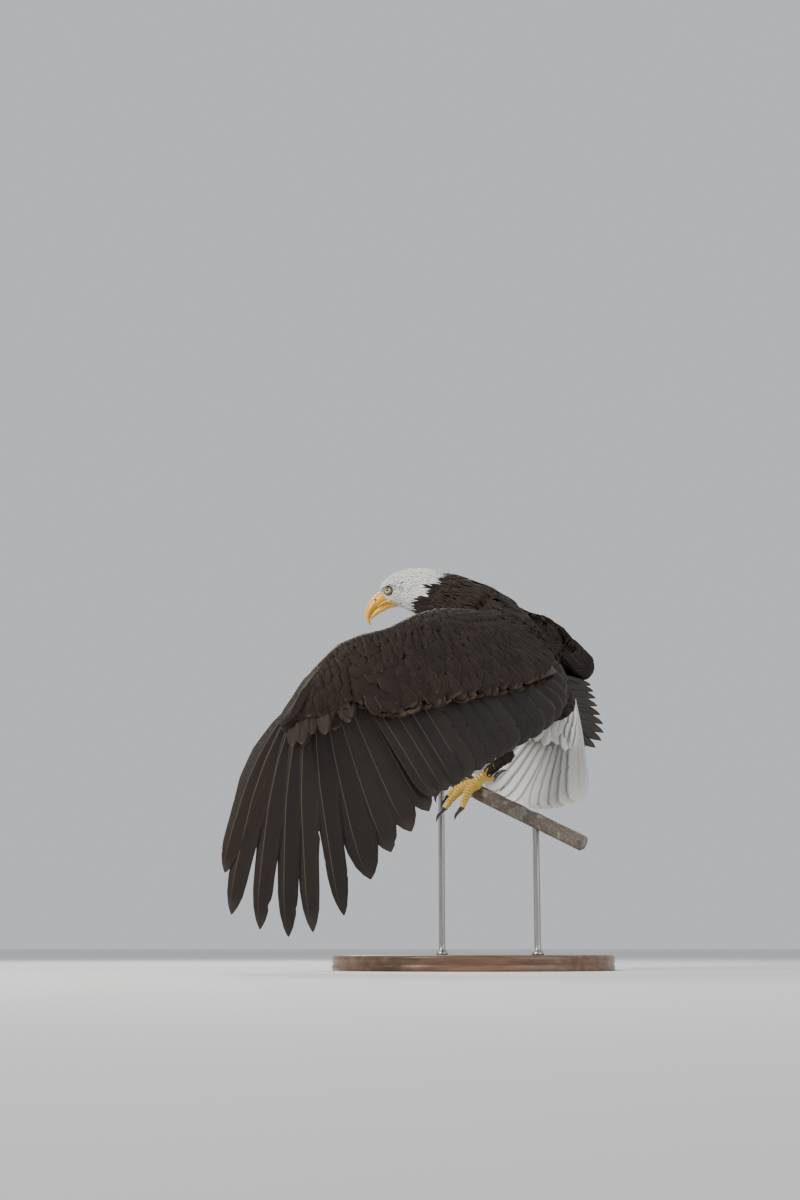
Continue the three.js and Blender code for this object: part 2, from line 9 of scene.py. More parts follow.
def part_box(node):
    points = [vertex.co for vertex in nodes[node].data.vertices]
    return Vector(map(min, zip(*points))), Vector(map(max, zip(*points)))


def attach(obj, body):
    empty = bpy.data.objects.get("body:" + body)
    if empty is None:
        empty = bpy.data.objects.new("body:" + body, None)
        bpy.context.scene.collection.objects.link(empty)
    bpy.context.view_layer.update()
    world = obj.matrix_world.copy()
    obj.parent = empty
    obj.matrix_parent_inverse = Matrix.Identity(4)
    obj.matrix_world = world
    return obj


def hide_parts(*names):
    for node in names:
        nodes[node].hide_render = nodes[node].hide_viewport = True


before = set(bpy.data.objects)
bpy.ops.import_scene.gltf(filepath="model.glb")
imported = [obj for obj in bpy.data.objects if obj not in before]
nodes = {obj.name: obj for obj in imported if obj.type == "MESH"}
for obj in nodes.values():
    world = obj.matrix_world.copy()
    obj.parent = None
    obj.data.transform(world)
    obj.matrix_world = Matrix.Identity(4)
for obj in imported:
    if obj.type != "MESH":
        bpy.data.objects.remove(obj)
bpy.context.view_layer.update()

dice = np.random.default_rng(11)


def mm(*xyz):
    # millimetres in, metres out
    return np.array(xyz, float) / 1000


def unit(v):
    v = np.asarray(v, float)
    return v / np.maximum(np.linalg.norm(v, axis=-1, keepdims=True), 1e-12)


def smooth(a, b, x):
    t = np.clip((np.asarray(x, float) - a) / (b - a), 0, 1)
    return t * t * (3 - 2 * t)


def span(pair, t):
    return pair[0] + (pair[1] - pair[0]) * t


def through(points, t):
    # a Catmull-Rom line through the points, t from 0 to 1
    p = np.asarray(points, float)
    t = np.atleast_1d(np.asarray(t, float)) * (len(p) - 1)
    i = np.clip(np.floor(t).astype(int), 0, len(p) - 2)
    f = (t - i).reshape(-1, *[1] * (p.ndim - 1))
    at = lambda k: p[np.clip(k, 0, len(p) - 1)]
    p1, p2 = at(i), at(i + 1)
    p0 = np.where((i == 0).reshape(f.shape), 2 * p1 - p2, at(i - 1))
    p3 = np.where((i == len(p) - 2).reshape(f.shape), 2 * p2 - p1, at(i + 2))
    squared, cubed = 2 * p0 - 5 * p1 + 4 * p2 - p3, 3 * p1 - p0 - 3 * p2 + p3
    return 0.5 * (2 * p1 + (p2 - p0) * f + squared * f**2 + cubed * f**3)


def meshPiece(name, verts, loops, starts, fields=None, bakeUv=None):
    mesh = bpy.data.meshes.new(name)
    mesh.vertices.add(len(verts))
    mesh.vertices.foreach_set("co", np.asarray(verts, np.float32).ravel())
    mesh.loops.add(len(loops))
    mesh.loops.foreach_set("vertex_index", np.asarray(loops, np.int32))
    mesh.polygons.add(len(starts))
    mesh.polygons.foreach_set("loop_start", np.asarray(starts, np.int32))
    mesh.update(calc_edges=True)
    mesh.polygons.foreach_set("use_smooth", np.ones(len(starts), bool))
    for key, values in (fields or {}).items():
        layer = mesh.attributes.new(key, "FLOAT_VECTOR", "POINT")
        layer.data.foreach_set("vector", np.asarray(values, np.float32).ravel())
    if bakeUv is not None:
        layer = mesh.uv_layers.new(name="OFBake")
        layer.data.foreach_set("uv", np.asarray(bakeUv, np.float32)[np.asarray(loops)].ravel())
    piece = bpy.data.objects.new(name, mesh)
    bpy.context.scene.collection.objects.link(piece)
    return piece


def ringLoops(count, rings, sides):
    # quads round and along every body, and one flat face at each end
    j = np.arange(sides)
    k = (j + 1) % sides
    i = np.arange(rings - 1)[:, None] * sides
    quads = np.stack([i + j, i + k, i + sides + k, i + sides + j], -1).reshape(-1, 4)
    one = np.concatenate([quads.ravel(), j[::-1], (rings - 1) * sides + j])
    sizes = np.concatenate([np.full(len(quads), 4), [sides, sides]])
    loops = (one[None] + (np.arange(count) * rings * sides)[:, None]).ravel()
    allSizes = np.tile(sizes, count)
    return loops, np.concatenate([[0], np.cumsum(allSizes)[:-1]])


def tubePiece(name, rings, fields=None):
    # rings: n x sides x 3
    n, sides = rings.shape[:2]
    loops, starts = ringLoops(1, n, sides)
    return meshPiece(name, rings.reshape(-1, 3), loops, starts, fields)


def wear(piece, material, slotName, *replaced):
    piece.data.materials.clear()
    piece.data.materials.append(material)
    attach(piece, "root")
    if replaced:
        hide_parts(*replaced)
    return piece


view = {"at": (-0.135, -3.2, 0.040), "tilt": 11.585, "lens": 50.958}
eyeLens = bpy.data.cameras.new("camera")
eyeLens.sensor_fit = "VERTICAL"
eyeLens.sensor_height = 36
eyeLens.lens = view["lens"]
camera = bpy.data.objects.new("camera", eyeLens)
camera.location = view["at"]
camera.rotation_euler = (math.radians(90 + view["tilt"]), 0, 0)
bpy.context.scene.collection.objects.link(camera)
bpy.context.scene.camera = camera


class Shade:
    # a short way to write node trees
    def __init__(self, name):
        self.material = bpy.data.materials.new(name)
        self.material.use_nodes = True
        self.tree = self.material.node_tree
        self.tree.nodes.clear()
        self.out = self.tree.nodes.new("ShaderNodeOutputMaterial")
        self.main = self.tree.nodes.new("ShaderNodeBsdfPrincipled")
        self.tree.links.new(self.main.outputs[0], self.out.inputs[0])

    def put(self, target, value):
        if hasattr(value, "is_output"):
            self.tree.links.new(value, target)
        else:
            target.default_value = value

    def node(self, kind, out=0, inputs=None, **settings):
        n = self.tree.nodes.new(kind)
        for key, value in settings.items():
            setattr(n, key, value)
        for key, value in (inputs or {}).items():
            self.put(n.inputs[key], value)
        return n.outputs[out]

    def math(self, how, a, b=0.0, c=0.0):
        return self.node("ShaderNodeMath", operation=how, inputs={0: a, 1: b, 2: c})

    def noise(self, vector, scale, detail=2.0, rough=0.5):
        inputs = {"Vector": vector, "Scale": scale, "Detail": detail, "Roughness": rough}
        return self.node("ShaderNodeTexNoise", 0, inputs)

    def times(self, a, b):
        return self.math("MULTIPLY", a, b)

    def vector(self, x, y, z):
        return self.node("ShaderNodeCombineXYZ", 0, {0: x, 1: y, 2: z})

    def place(self):
        # the point in the piece's own metres
        return self.node("ShaderNodeTexCoord", 3)

    def stretched(self, vector, x, y, z):
        return self.node("ShaderNodeMapping", 0, {"Vector": vector, "Scale": (x, y, z)})

    def ramp(self, value, stops):
        n = self.tree.nodes.new("ShaderNodeValToRGB")
        while len(n.color_ramp.elements) < len(stops):
            n.color_ramp.elements.new(0.5)
        for element, (at, colour) in zip(n.color_ramp.elements, stops):
            element.position = at
            element.color = (*colour, 1) if len(colour) == 3 else colour
        self.put(n.inputs[0], value)
        return n.outputs[0]

    def mix(self, amount, a, b, how="MIX"):
        n = self.tree.nodes.new("ShaderNodeMix")
        n.data_type = "RGBA"
        n.blend_type = how
        self.put(n.inputs[0], amount)
        self.put(n.inputs[6], (*a, 1) if isinstance(a, tuple) and len(a) == 3 else a)
        self.put(n.inputs[7], (*b, 1) if isinstance(b, tuple) and len(b) == 3 else b)
        return n.outputs[2]

    def between(self, value, low, high):
        return self.node("ShaderNodeMapRange", 0, {0: value, 1: low, 2: high}, interpolation_type="SMOOTHSTEP")

    def parts(self, vector):
        n = self.tree.nodes.new("ShaderNodeSeparateXYZ")
        self.tree.links.new(vector, n.inputs[0])
        return n.outputs

    def field(self, name):
        return self.node("ShaderNodeAttribute", 1, attribute_name=name)

    def finish(self, colour, rough, bump=None, strength=0.3, depth=0.001, **fixed):
        self.put(self.main.inputs["Base Color"], colour)
        self.put(self.main.inputs["Roughness"], rough)
        for key, value in fixed.items():
            self.main.inputs[key].default_value = value
        if bump is not None:
            n = self.tree.nodes.new("ShaderNodeBump")
            n.inputs["Strength"].default_value = strength
            n.inputs["Distance"].default_value = depth
            self.tree.links.new(bump, n.inputs["Height"])
            self.tree.links.new(n.outputs[0], self.main.inputs["Normal"])
        return self.material


def featherFinish(name, dark, light, edge, down, quill, edgeAmount, rough=0.62, sheen=0.03, barbs=0.9, relief=0.7):
    # vane = metres along and across and a lot number; reach = the same in parts of the feather
    s = Shade(name)
    along, across, lot = s.parts(s.field("vane"))
    part, side, kind = s.parts(s.field("reach"))
    off = s.math("ABSOLUTE", across)
    # barbs run out slantwise from the shaft; hackles show long strands instead
    slant = 0.9 if barbs > 0.5 else 4.0
    barb = s.math("SUBTRACT", s.times(along, barbs), s.times(off, slant))
    fine = s.noise(s.vector(s.times(barb, 900.0), s.times(off, 60.0), s.times(lot, 90.0)), 1.0, 3.0, 0.6)
    cloud = s.noise(s.vector(s.times(along, 40.0), s.times(across, 90.0), s.times(lot, 37.0)), 1.0, 2.0)
    body = s.mix(s.math("ADD", s.times(lot, 0.6), s.times(cloud, 0.45)), dark, light)
    body = s.mix(s.times(s.between(fine, 0.35, 0.75), 0.35), body, light)
    rim = s.math("MAXIMUM", s.between(s.math("ABSOLUTE", side), 0.7, 1.0), s.between(part, 0.9, 1.0))
    body = s.mix(s.times(rim, s.times(s.math("ADD", 0.35, lot), edgeAmount)), body, edge)
    body = s.mix(s.times(s.between(part, 0.42, 0.08), 0.8), body, down)
    shaft = s.times(s.between(off, 0.0011, 0.0004), s.between(part, 1.0, 0.75))
    body = s.mix(s.times(shaft, s.times(kind, 0.75)), body, quill)
    height = s.math("ADD", fine, s.times(shaft, 0.8))
    gloss = {"Sheen Weight": sheen, "Sheen Roughness": 0.4, "Specular IOR Level": 0.28}
    return s.finish(body, rough, height, relief, 0.0009, **gloss)


featherLooks = {
    # dark and light of the vane, its tip, the down at its root and its shaft
    "brown_feather": {
        "dark": (0.0075, 0.0046, 0.003), "light": (0.026, 0.0155, 0.0095), "edge": (0.12, 0.08, 0.05),
        "down": (0.05, 0.04, 0.033), "quill": (0.05, 0.032, 0.02), "edgeAmount": 0.5,
    },
    "hackle_feather": {
        "dark": (0.0085, 0.005, 0.0033), "light": (0.032, 0.019, 0.0118), "edge": (0.15, 0.10, 0.063),
        "down": (0.05, 0.04, 0.033), "quill": (0.05, 0.032, 0.02), "edgeAmount": 0.6,
        "rough": 0.6, "barbs": 0.2,
    },
    "flight_feather": {
        "dark": (0.0075, 0.005, 0.0038), "light": (0.020, 0.013, 0.009), "edge": (0.085, 0.062, 0.045),
        "down": (0.012, 0.009, 0.007), "quill": (0.105, 0.078, 0.052), "edgeAmount": 0.3,
        "rough": 0.46, "sheen": 0.05,
    },
    "white_feather": {
        "dark": (0.70, 0.685, 0.65), "light": (0.88, 0.87, 0.845), "edge": (0.94, 0.93, 0.915),
        "down": (0.70, 0.68, 0.64), "quill": (0.66, 0.61, 0.52), "edgeAmount": 0.5,
        "rough": 0.6, "sheen": 0.05,
    },
    "white_hackle": {
        "dark": (0.84, 0.83, 0.80), "light": (0.95, 0.945, 0.93), "edge": (0.97, 0.965, 0.955),
        "down": (0.80, 0.78, 0.74), "quill": (0.84, 0.81, 0.74), "edgeAmount": 0.5,
        "rough": 0.6, "sheen": 0.05, "barbs": 0.2, "relief": 0.3,
    },
}
finishes = [featherFinish(name, **look) for name, look in featherLooks.items()]
brownFeather, hackleFeather, flightFeather, whiteFeather, whiteHackle = finishes
print("feather finishes ready")


def vaneBatch(spine, across, up, lead, trail, thick, camber, topSides=5, kind=0.0):
    # many closed thin vanes in one go
    # spine, across and up are count x n x 3; lead, trail, thick and camber are count x n
    count, n = spine.shape[:2]
    w = np.linspace(-1, 1, topSides)
    ring = np.concatenate([w, w[-2:0:-1]])
    top = np.concatenate([np.ones(topSides), -np.ones(topSides - 2)])
    half = np.where(ring[None, None] < 0, lead[..., None], trail[..., None])
    x = ring * half
    body = 1 - 0.75 * np.abs(ring) ** 1.5
    z = camber[..., None] * (1 - ring**2) + top * thick[..., None] * 0.5 * body
    z = z + 0.9 * thick[..., None] * np.exp(-((ring / 0.09) ** 2)) * (top > 0) * (kind > 0.8)
    verts = spine[:, :, None] + across[:, :, None] * x[..., None] + up[:, :, None] * z[..., None]
    step = np.linalg.norm(np.diff(spine, axis=1), axis=-1)
    along = np.concatenate([np.zeros((count, 1)), np.cumsum(step, 1)], 1)
    lot = dice.random(count)
    shape = (count, n, len(ring))
    spread = lambda v: np.broadcast_to(v, shape)
    vane = np.stack([spread(along[..., None]), x, spread(lot[:, None, None])], -1)
    part = along / along[:, -1:]
    reach = np.stack([spread(part[..., None]), spread(ring), np.full(shape, float(kind))], -1)
    flat = {"verts": verts.reshape(-1, 3), "vane": vane.reshape(-1, 3), "reach": reach.reshape(-1, 3)}
    return {**flat, "shape": shape, "root": spine[:, 0]}


def featherPiece(name, batches, material, slotName, *replaced):
    verts, loops, starts, vane, reach, uv = [], [], [], [], [], []
    base = loopBase = 0
    batches = [b for b in batches if b]
    for b in batches:
        count, n, sides = b["shape"]
        lo, st = ringLoops(count, n, sides)
        verts.append(b["verts"])
        loops.append(lo + base)
        starts.append(st + loopBase)
        vane.append(b["vane"])
        reach.append(b["reach"])
        rootUv = np.repeat(unwrapAt(b["root"]), n * sides, axis=0)
        patch = np.stack([b["reach"][:, 1] * 0.5, b["reach"][:, 0] - 0.5], -1) * 0.003
        uv.append(rootUv + patch)
        base += len(b["verts"])
        loopBase += len(lo)
    fields = {"vane": np.concatenate(vane), "reach": np.concatenate(reach)}
    loops, starts = np.concatenate(loops), np.concatenate(starts)
    piece = meshPiece(name, np.concatenate(verts), loops, starts, fields, np.concatenate(uv))
    number = sum(b["shape"][0] for b in batches)
    print(name, number, "pieces", len(loops) - 2 * len(starts), "triangles")
    return wear(piece, material, slotName, *replaced)


# the skin is one closed body made from the flesh and sunk under the coat
skinSetup = {
    "voxel": 0.003,
    "passes": 26,
    "sink": {"trunk": 9, "neck": 7, "head": 3, "arm": 5, "hand": 2.5, "thigh": 7, "shank": 0, "foot": 0},
}
fleshNodes = ["trunk", "neck", "head"] + [f"wing_{s}_{p}" for s in ("left", "right") for p in ("arm", "hand")]
fleshNodes += [f"leg_{s}_{p}" for s in ("left", "right") for p in ("thigh", "shank", "foot")]


def nodeMesh(name):
    data = nodes[name].data
    co = np.zeros(len(data.vertices) * 3, np.float32)
    data.vertices.foreach_get("co", co)
    data.calc_loop_triangles()
    tri = np.zeros(len(data.loop_triangles) * 3, np.int32)
    data.loop_triangles.foreach_get("vertices", tri)
    co = co.reshape(-1, 3).astype(float)
    tri = tri.reshape(-1, 3)
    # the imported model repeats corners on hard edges, so equal corners are joined again
    _, first, back = np.unique(np.round(co, 6), axis=0, return_index=True, return_inverse=True)
    return co[first], back.reshape(-1)[tri]


def grownFlesh():
    verts, faces, owner = [], [], []
    base = 0
    for k, name in enumerate(fleshNodes):
        co, tri = nodeMesh(name)
        face = np.cross(co[tri[:, 1]] - co[tri[:, 0]], co[tri[:, 2]] - co[tri[:, 0]])
        normal = np.zeros_like(co)
        for c in range(3):
            np.add.at(normal, tri[:, c], face)
        verts.append(co + unit(normal) * 0.0005)
        faces.append(tri + base)
        owner.append(np.full(len(tri), k))
        base += len(co)
    return np.concatenate(verts), np.concatenate(faces), np.concatenate(owner)


fleshVerts, fleshFaces, fleshOwner = grownFlesh()
fleshTree = BVHTree.FromPolygons(fleshVerts.tolist(), fleshFaces.tolist())


def ownerOf(points):
    return np.array([fleshOwner[fleshTree.find_nearest(p)[2]] for p in points.tolist()])


def readMesh(mesh):
    co = np.zeros(len(mesh.vertices) * 3, np.float32)
    mesh.vertices.foreach_get("co", co)
    no = np.zeros(len(mesh.vertices) * 3, np.float32)
    mesh.vertices.foreach_get("normal", no)
    return co.reshape(-1, 3).astype(float), no.reshape(-1, 3).astype(float)


def applyModifiers(piece):
    graph = bpy.context.evaluated_depsgraph_get()
    graph.update()
    fresh = bpy.data.meshes.new_from_object(piece.evaluated_get(graph))
    old = piece.data
    piece.modifiers.clear()
    piece.data = fresh
    bpy.data.meshes.remove(old)


loops3 = fleshFaces.ravel()
skin = meshPiece("skin", fleshVerts, loops3, np.arange(0, len(loops3), 3))
remesh = skin.modifiers.new("remesh", "REMESH")
remesh.mode = "VOXEL"
remesh.voxel_size = skinSetup["voxel"]
remesh.use_smooth_shade = True
applyModifiers(skin)
skinCo, _ = readMesh(skin.data)
skinOwner = ownerOf(skinCo)
footish = np.array([name.endswith(("shank", "foot")) for name in fleshNodes])[skinOwner]
softness = skin.vertex_groups.new(name="soft")
softness.add(np.nonzero(~footish)[0].tolist(), 1.0, "REPLACE")
softness.add(np.nonzero(footish)[0].tolist(), 0.25, "REPLACE")
softness.add(np.nonzero(skinCo[:, 0] < -0.115)[0].tolist(), 0.3, "REPLACE")
relax = skin.modifiers.new("relax", "SMOOTH")
relax.factor = 0.6
relax.iterations = skinSetup["passes"]
relax.vertex_group = "soft"
applyModifiers(skin)
coatCo, _ = readMesh(skin.data)
faceSetup = {
    "browHeight": 8.0,
    "browWide": 3.3,
    "socketDepth": 2.6,
    "socketWide": 5.5,
    "cheek": 1.2,
    "brow": mm([-174, 0, 704.5], [-166, 0, 709.3], [-157, 0, 712.3], [-147, 0, 713.2], [-136, 0, 710.5]),
}


def sculptFace(co):
    # the bony shelf over the eye, the hollow round the eye and the full cheek behind it
    brow = through(faceSetup["brow"], np.linspace(0, 1, 60))
    off = co[:, 1] + 0.028
    near = np.nonzero((co[:, 0] < -0.115) & (np.abs(off) > 0.006) & (co[:, 2] > 0.675))[0]
    x, z = co[near, 0], co[near, 2]
    toBrow = np.stack([x, z], -1)[:, None] - brow[None, :, [0, 2]]
    fromBrow = np.sqrt((toBrow**2).sum(-1)).min(1) * 1000
    fromEye = np.hypot(x + 0.1565, z - 0.705) * 1000
    fromCheek = np.hypot(x + 0.138, (z - 0.694) * 1.3) * 1000
    out = faceSetup["browHeight"] * np.exp(-((fromBrow / faceSetup["browWide"]) ** 2))
    out -= faceSetup["socketDepth"] * np.exp(-((fromEye / faceSetup["socketWide"]) ** 2))
    out += faceSetup["cheek"] * np.exp(-((fromCheek / 10) ** 2))
    co[near, 1] += np.sign(off[near]) * out * smooth(0.006, 0.012, np.abs(off[near])) / 1000
    return co


skin.data.vertices.foreach_set("co", sculptFace(coatCo).astype(np.float32).ravel())
skin.data.update()
coatCo, coatNormal = readMesh(skin.data)
skinFaces = [tuple(p.vertices) for p in skin.data.polygons]
coatTree = BVHTree.FromPolygons(coatCo.tolist(), skinFaces)
sink = np.array([skinSetup["sink"][name.split("_")[-1]] for name in fleshNodes])[skinOwner] / 1000
edges = np.zeros(len(skin.data.edges) * 2, np.int32)
skin.data.edges.foreach_get("vertices", edges)
edges = edges.reshape(-1, 2)
for _ in range(12):
    # the depth changes gently from one region to the next
    total = np.zeros(len(sink))
    many = np.zeros(len(sink))
    for a, b in ((0, 1), (1, 0)):
        np.add.at(total, edges[:, a], sink[edges[:, b]])
        np.add.at(many, edges[:, a], 1)
    sink = 0.5 * sink + 0.5 * total / np.maximum(many, 1)
skin.data.vertices.foreach_set("co", (coatCo - coatNormal * sink[:, None]).astype(np.float32).ravel())
skin.data.update()
print("skin", len(skin.data.polygons), "faces")


def unwrapSkin():
    # every feather takes its place from the unwrap of the skin's own shape
    bpy.ops.object.select_all(action="DESELECT")
    skin.select_set(True)
    bpy.context.view_layer.objects.active = skin
    bpy.ops.object.mode_set(mode="EDIT")
    bpy.ops.mesh.select_all(action="SELECT")
    bpy.ops.uv.smart_project(angle_limit=math.radians(66), island_margin=0.002)
    bpy.ops.object.mode_set(mode="OBJECT")
    skin.data.uv_layers[0].name = "OFBake"
    uv = np.zeros(len(skin.data.loops) * 2, np.float32)
    skin.data.uv_layers[0].data.foreach_get("uv", uv)
    starts = np.zeros(len(skin.data.polygons), np.int32)
    skin.data.polygons.foreach_get("loop_start", starts)
    return uv.reshape(-1, 2)[starts].astype(float) * 0.99 + 0.005


skinPatch = unwrapSkin()
sunkCo, _ = readMesh(skin.data)
skinTree = BVHTree.FromPolygons(sunkCo.tolist(), skinFaces)


def unwrapAt(points):
    return np.array([skinPatch[skinTree.find_nearest(p)[2]] for p in points.tolist()])


# the lines that the coat lies along
bodyPath = mm(
    [-168, -28, 694], [-150, -28, 704], [-126, -28, 712], [-100, -28, 711], [-75, -27, 703],
    [-43, -26, 685], [-8, -22, 656], [28, -10, 623], [63, 3, 591], [100, 17, 557],
    [135, 31, 526], [160, 41, 504], [182, 50, 480], [198, 58, 452],
)
thighPath = {
    "left": mm([92, -34, 560], [48, -66, 512], [36, -76, 462], [50, -68, 418], [62, -62, 384]),
    "right": mm([66, 62, 560], [4, 70, 512], [-28, 66, 458], [-40, 56, 402], [-42, 46, 364]),
}
leftWing = {
    "dorsal": unit([-0.1, -0.95, 0.3]),
    # the leading edge and the rear edge of the fleshy part, from the shoulder to the tip of the hand
    "front": mm(
        [62, -2, 648], [45, -40, 672], [2, -98, 640], [-36, -143, 641], [-82, -193, 636],
        [-118, -234, 621], [-162, -275, 592], [-208, -294, 578], [-240, -299, 563],
        [-257, -301, 546], [-287, -303, 514], [-319, -304, 471], [-338, -305, 428],
    ),
    "back": mm(
        [140, 18, 562], [161, -34, 558], [160, -104, 534], [114, -176, 507], [41, -240, 486],
        [-30, -278, 467], [-88, -292, 455], [-142, -299, 440], [-198, -304, 452],
        [-222, -309, 450], [-258, -311, 437], [-298, -311, 424], [-326, -309, 413],
    ),
    "thick": np.array([40, 52, 56, 44, 38, 34, 32, 30, 27, 24, 20, 14, 8]) / 1000,
    "secondRoots": mm([-238, -288, 535], [-120, -268, 520], [-26, -232, 522], [32, -182, 547], [78, -112, 585]),
    "secondTips": mm(
        [-82, -266, 292], [-31, -255, 320], [19, -228, 354], [69, -190, 387],
        [136, -130, 434], [173, -90, 485], [166, -66, 548],
    ),
    # the ten primaries, outermost first: length, and how far the tip is set aside
    "lengths": [303, 377, 405, 424, 427, 414, 371, 345, 333, 323],
    "set": [-4, -11, -4, -4, -14, -11, -5, -6, -6, -8],
    # the first and the last primary root, and how far each leans from straight down, in degrees
    "outer": mm(-321, -293, 449),
    "inner": mm(-240, -288, 545),
    "angles": (20.5, -30.8),
    # share of the wing's length at which the wrist is
    "wrist": 0.66,
}


def rightAt(x, y, h):
    # a point h above the right wing's own plane
    d = unit([-0.2, 0.52, 0.83])
    return [x, y, 622 + (h - ((x + 50) * d[0] + (y - 145) * d[1])) / d[2]]


rightWing = {
    "dorsal": unit([-0.2, 0.52, 0.83]),
    "secondRoots": mm(rightAt(-30, 156, 8), rightAt(60, 168, 8), rightAt(150, 180, 8), rightAt(178, 178, 8)),
    "secondTips": mm(
        rightAt(196, 308, 4), rightAt(228, 306, 0), rightAt(250, 296, -10),
        rightAt(256, 276, -20), rightAt(250, 244, -22),
    ),
    "primaryRoots": mm(rightAt(48, 244, -14), rightAt(0, 205, -16), rightAt(-40, 165, -18), rightAt(-46, 150, -20)),
    "primaryTips": mm(
        rightAt(232, 470, 2), rightAt(284, 518, 0), rightAt(306, 492, -3), rightAt(303, 440, -9),
        rightAt(286, 380, -16), rightAt(274, 328, -23), rightAt(262, 292, -25),
    ),
}


def pathWay(path, points):
    t = np.linspace(0, 1, 120)
    line = through(path, t)
    way = unit(np.gradient(line, axis=0))
    near = np.array([np.argmin(((line - p) ** 2).sum(1)) for p in points])
    return way[near], t[near]


def primaryLine(t):
    # t runs from the outermost primary to the innermost
    t = np.atleast_1d(np.asarray(t, float))
    angle = np.radians(span(leftWing["angles"], t))
    length = np.interp(t, np.linspace(0, 1, 10), leftWing["lengths"]) / 1000
    lean = 0.045 * t
    drop = np.sqrt(length**2 - lean**2)
    root = leftWing["outer"] + (leftWing["inner"] - leftWing["outer"]) * t[:, None]
    aside = np.interp(t, np.linspace(0, 1, 10), leftWing["set"]) / 1000
    tip = root + np.stack([aside - np.sin(angle) * drop, lean, -np.cos(angle) * drop], -1)
    return root, tip


def wingShare(points):
    # how far along the left wing, shoulder to tip, a point is
    u = np.linspace(0, 1, 90)
    middle = through((leftWing["front"] + leftWing["back"]) / 2, u)
    return u[np.array([np.argmin(((middle - p) ** 2).sum(1)) for p in points])]


def leftFlightWay(u):
    u = np.atleast_1d(u)
    wrist = leftWing["wrist"]
    t = np.clip(1 - u / wrist, 0, 1)
    arm = unit(through(leftWing["secondTips"], t) - through(leftWing["secondRoots"], t))
    root, tip = primaryLine(np.clip(1 - (u - wrist) / (1 - wrist), 0, 1))
    w = smooth(wrist - 0.05, wrist + 0.06, u)[:, None]
    return unit(arm * (1 - w) + unit(tip - root) * w)


def rightFlightWay(points):
    t = np.linspace(0, 1, 40)
    roots = through(rightWing["secondRoots"], t)
    way = unit(through(rightWing["secondTips"], t) - roots)
    near = np.array([np.argmin(((roots - p) ** 2).sum(1)) for p in points])
    return way[near]


def layAt(co, owner):
    way = np.zeros_like(co)
    names = np.array(fleshNodes)[owner]
    for name in fleshNodes:
        pick = names == name
        if not pick.any():
            continue
        p = co[pick]
        if name in ("trunk", "neck", "head"):
            way[pick] = pathWay(bodyPath, p)[0]
        elif name.startswith("leg"):
            way[pick] = pathWay(thighPath[name.split("_")[1]], p)[0]
        elif name.startswith("wing_left"):
            u = wingShare(p)
            chord = unit(through(leftWing["back"], u) - through(leftWing["front"], u))
            front = through(leftWing["front"], u)
            v = np.clip(((p - front) * chord).sum(1) / 0.16, 0, 1)[:, None]
            way[pick] = unit(chord * (1 - v) + leftFlightWay(u) * v)
        else:
            way[pick] = rightFlightWay(p)
    return way


lay = layAt(coatCo, skinOwner)
for _ in range(30):
    total = np.zeros_like(lay)
    for a, b in ((0, 1), (1, 0)):
        for c in range(3):
            total[:, c] += np.bincount(edges[:, a], lay[edges[:, b], c], len(lay))
    lay = unit(lay + total * 0.5)
firstCorner = np.array([f[0] for f in skinFaces])
print("lay of the coat set")


def nearestOn(tree, points):
    # the nearest places on the tree, the directions that they face and their faces
    found = [tree.find_nearest(p) for p in points.tolist()]
    return tuple(np.array([f[k] for f in found]) for k in range(3))


def tipward(n):
    # places along a feather, closer together toward its tip
    return 1 - (1 - np.linspace(0, 1, n)) ** 1.7


def hug(root, way, length, low, high, n, settle=0.4, tree=coatTree, plane=None):
    # each feather is led over the coat from its root; past an edge it goes straight on
    p = np.array(root)
    d = unit(way)
    spine, ups = [], []
    last = None
    for k, t in enumerate(tipward(n)):
        if k:
            p = p + d * (length * (t - tipward(n)[k - 1]))[:, None]
        q, nrm, _ = nearestOn(tree, p)
        free = smooth(0.004, 0.012, np.linalg.norm(p - q, axis=1))[:, None] * (k > 0)
        if plane is not None:
            nrm = unit(nrm * 0.35 + plane)
        if last is not None:
            nrm = unit(nrm * (1 - free) * 0.7 + last * (0.3 + 0.7 * free))
        p = q * (1 - free) + p * free
        d = unit(d - nrm * (d * nrm).sum(1, keepdims=True) * 0.9)
        rise = -low * (1 - smooth(0, settle, t)) + high * t**1.3
        spine.append(p + nrm * rise[:, None])
        ups.append(nrm)
        last = nrm
    spine, ups = np.stack(spine, 1), np.stack(ups, 1)
    for _ in range(0 if plane is None else 5):
        spine[:, 1:-1] = spine[:, 1:-1] * 0.5 + (spine[:, 2:] + spine[:, :-2]) * 0.25
        ups[:, 1:-1] = unit(ups[:, 1:-1] * 0.5 + (ups[:, 2:] + ups[:, :-2]) * 0.25)
    return spine, ups


vaneForms = {
    # half width along a small feather, as parts of the full width
    "round": [
        [0, 0.22], [0.25, 0.62], [0.5, 0.94], [0.68, 1], [0.82, 0.88],
        [0.9, 0.72], [0.96, 0.47], [0.99, 0.24], [1, 0.05],
    ],
    "lance": [[0, 0.3], [0.25, 0.85], [0.5, 1], [0.72, 0.8], [0.9, 0.42], [1, 0.04]],
}


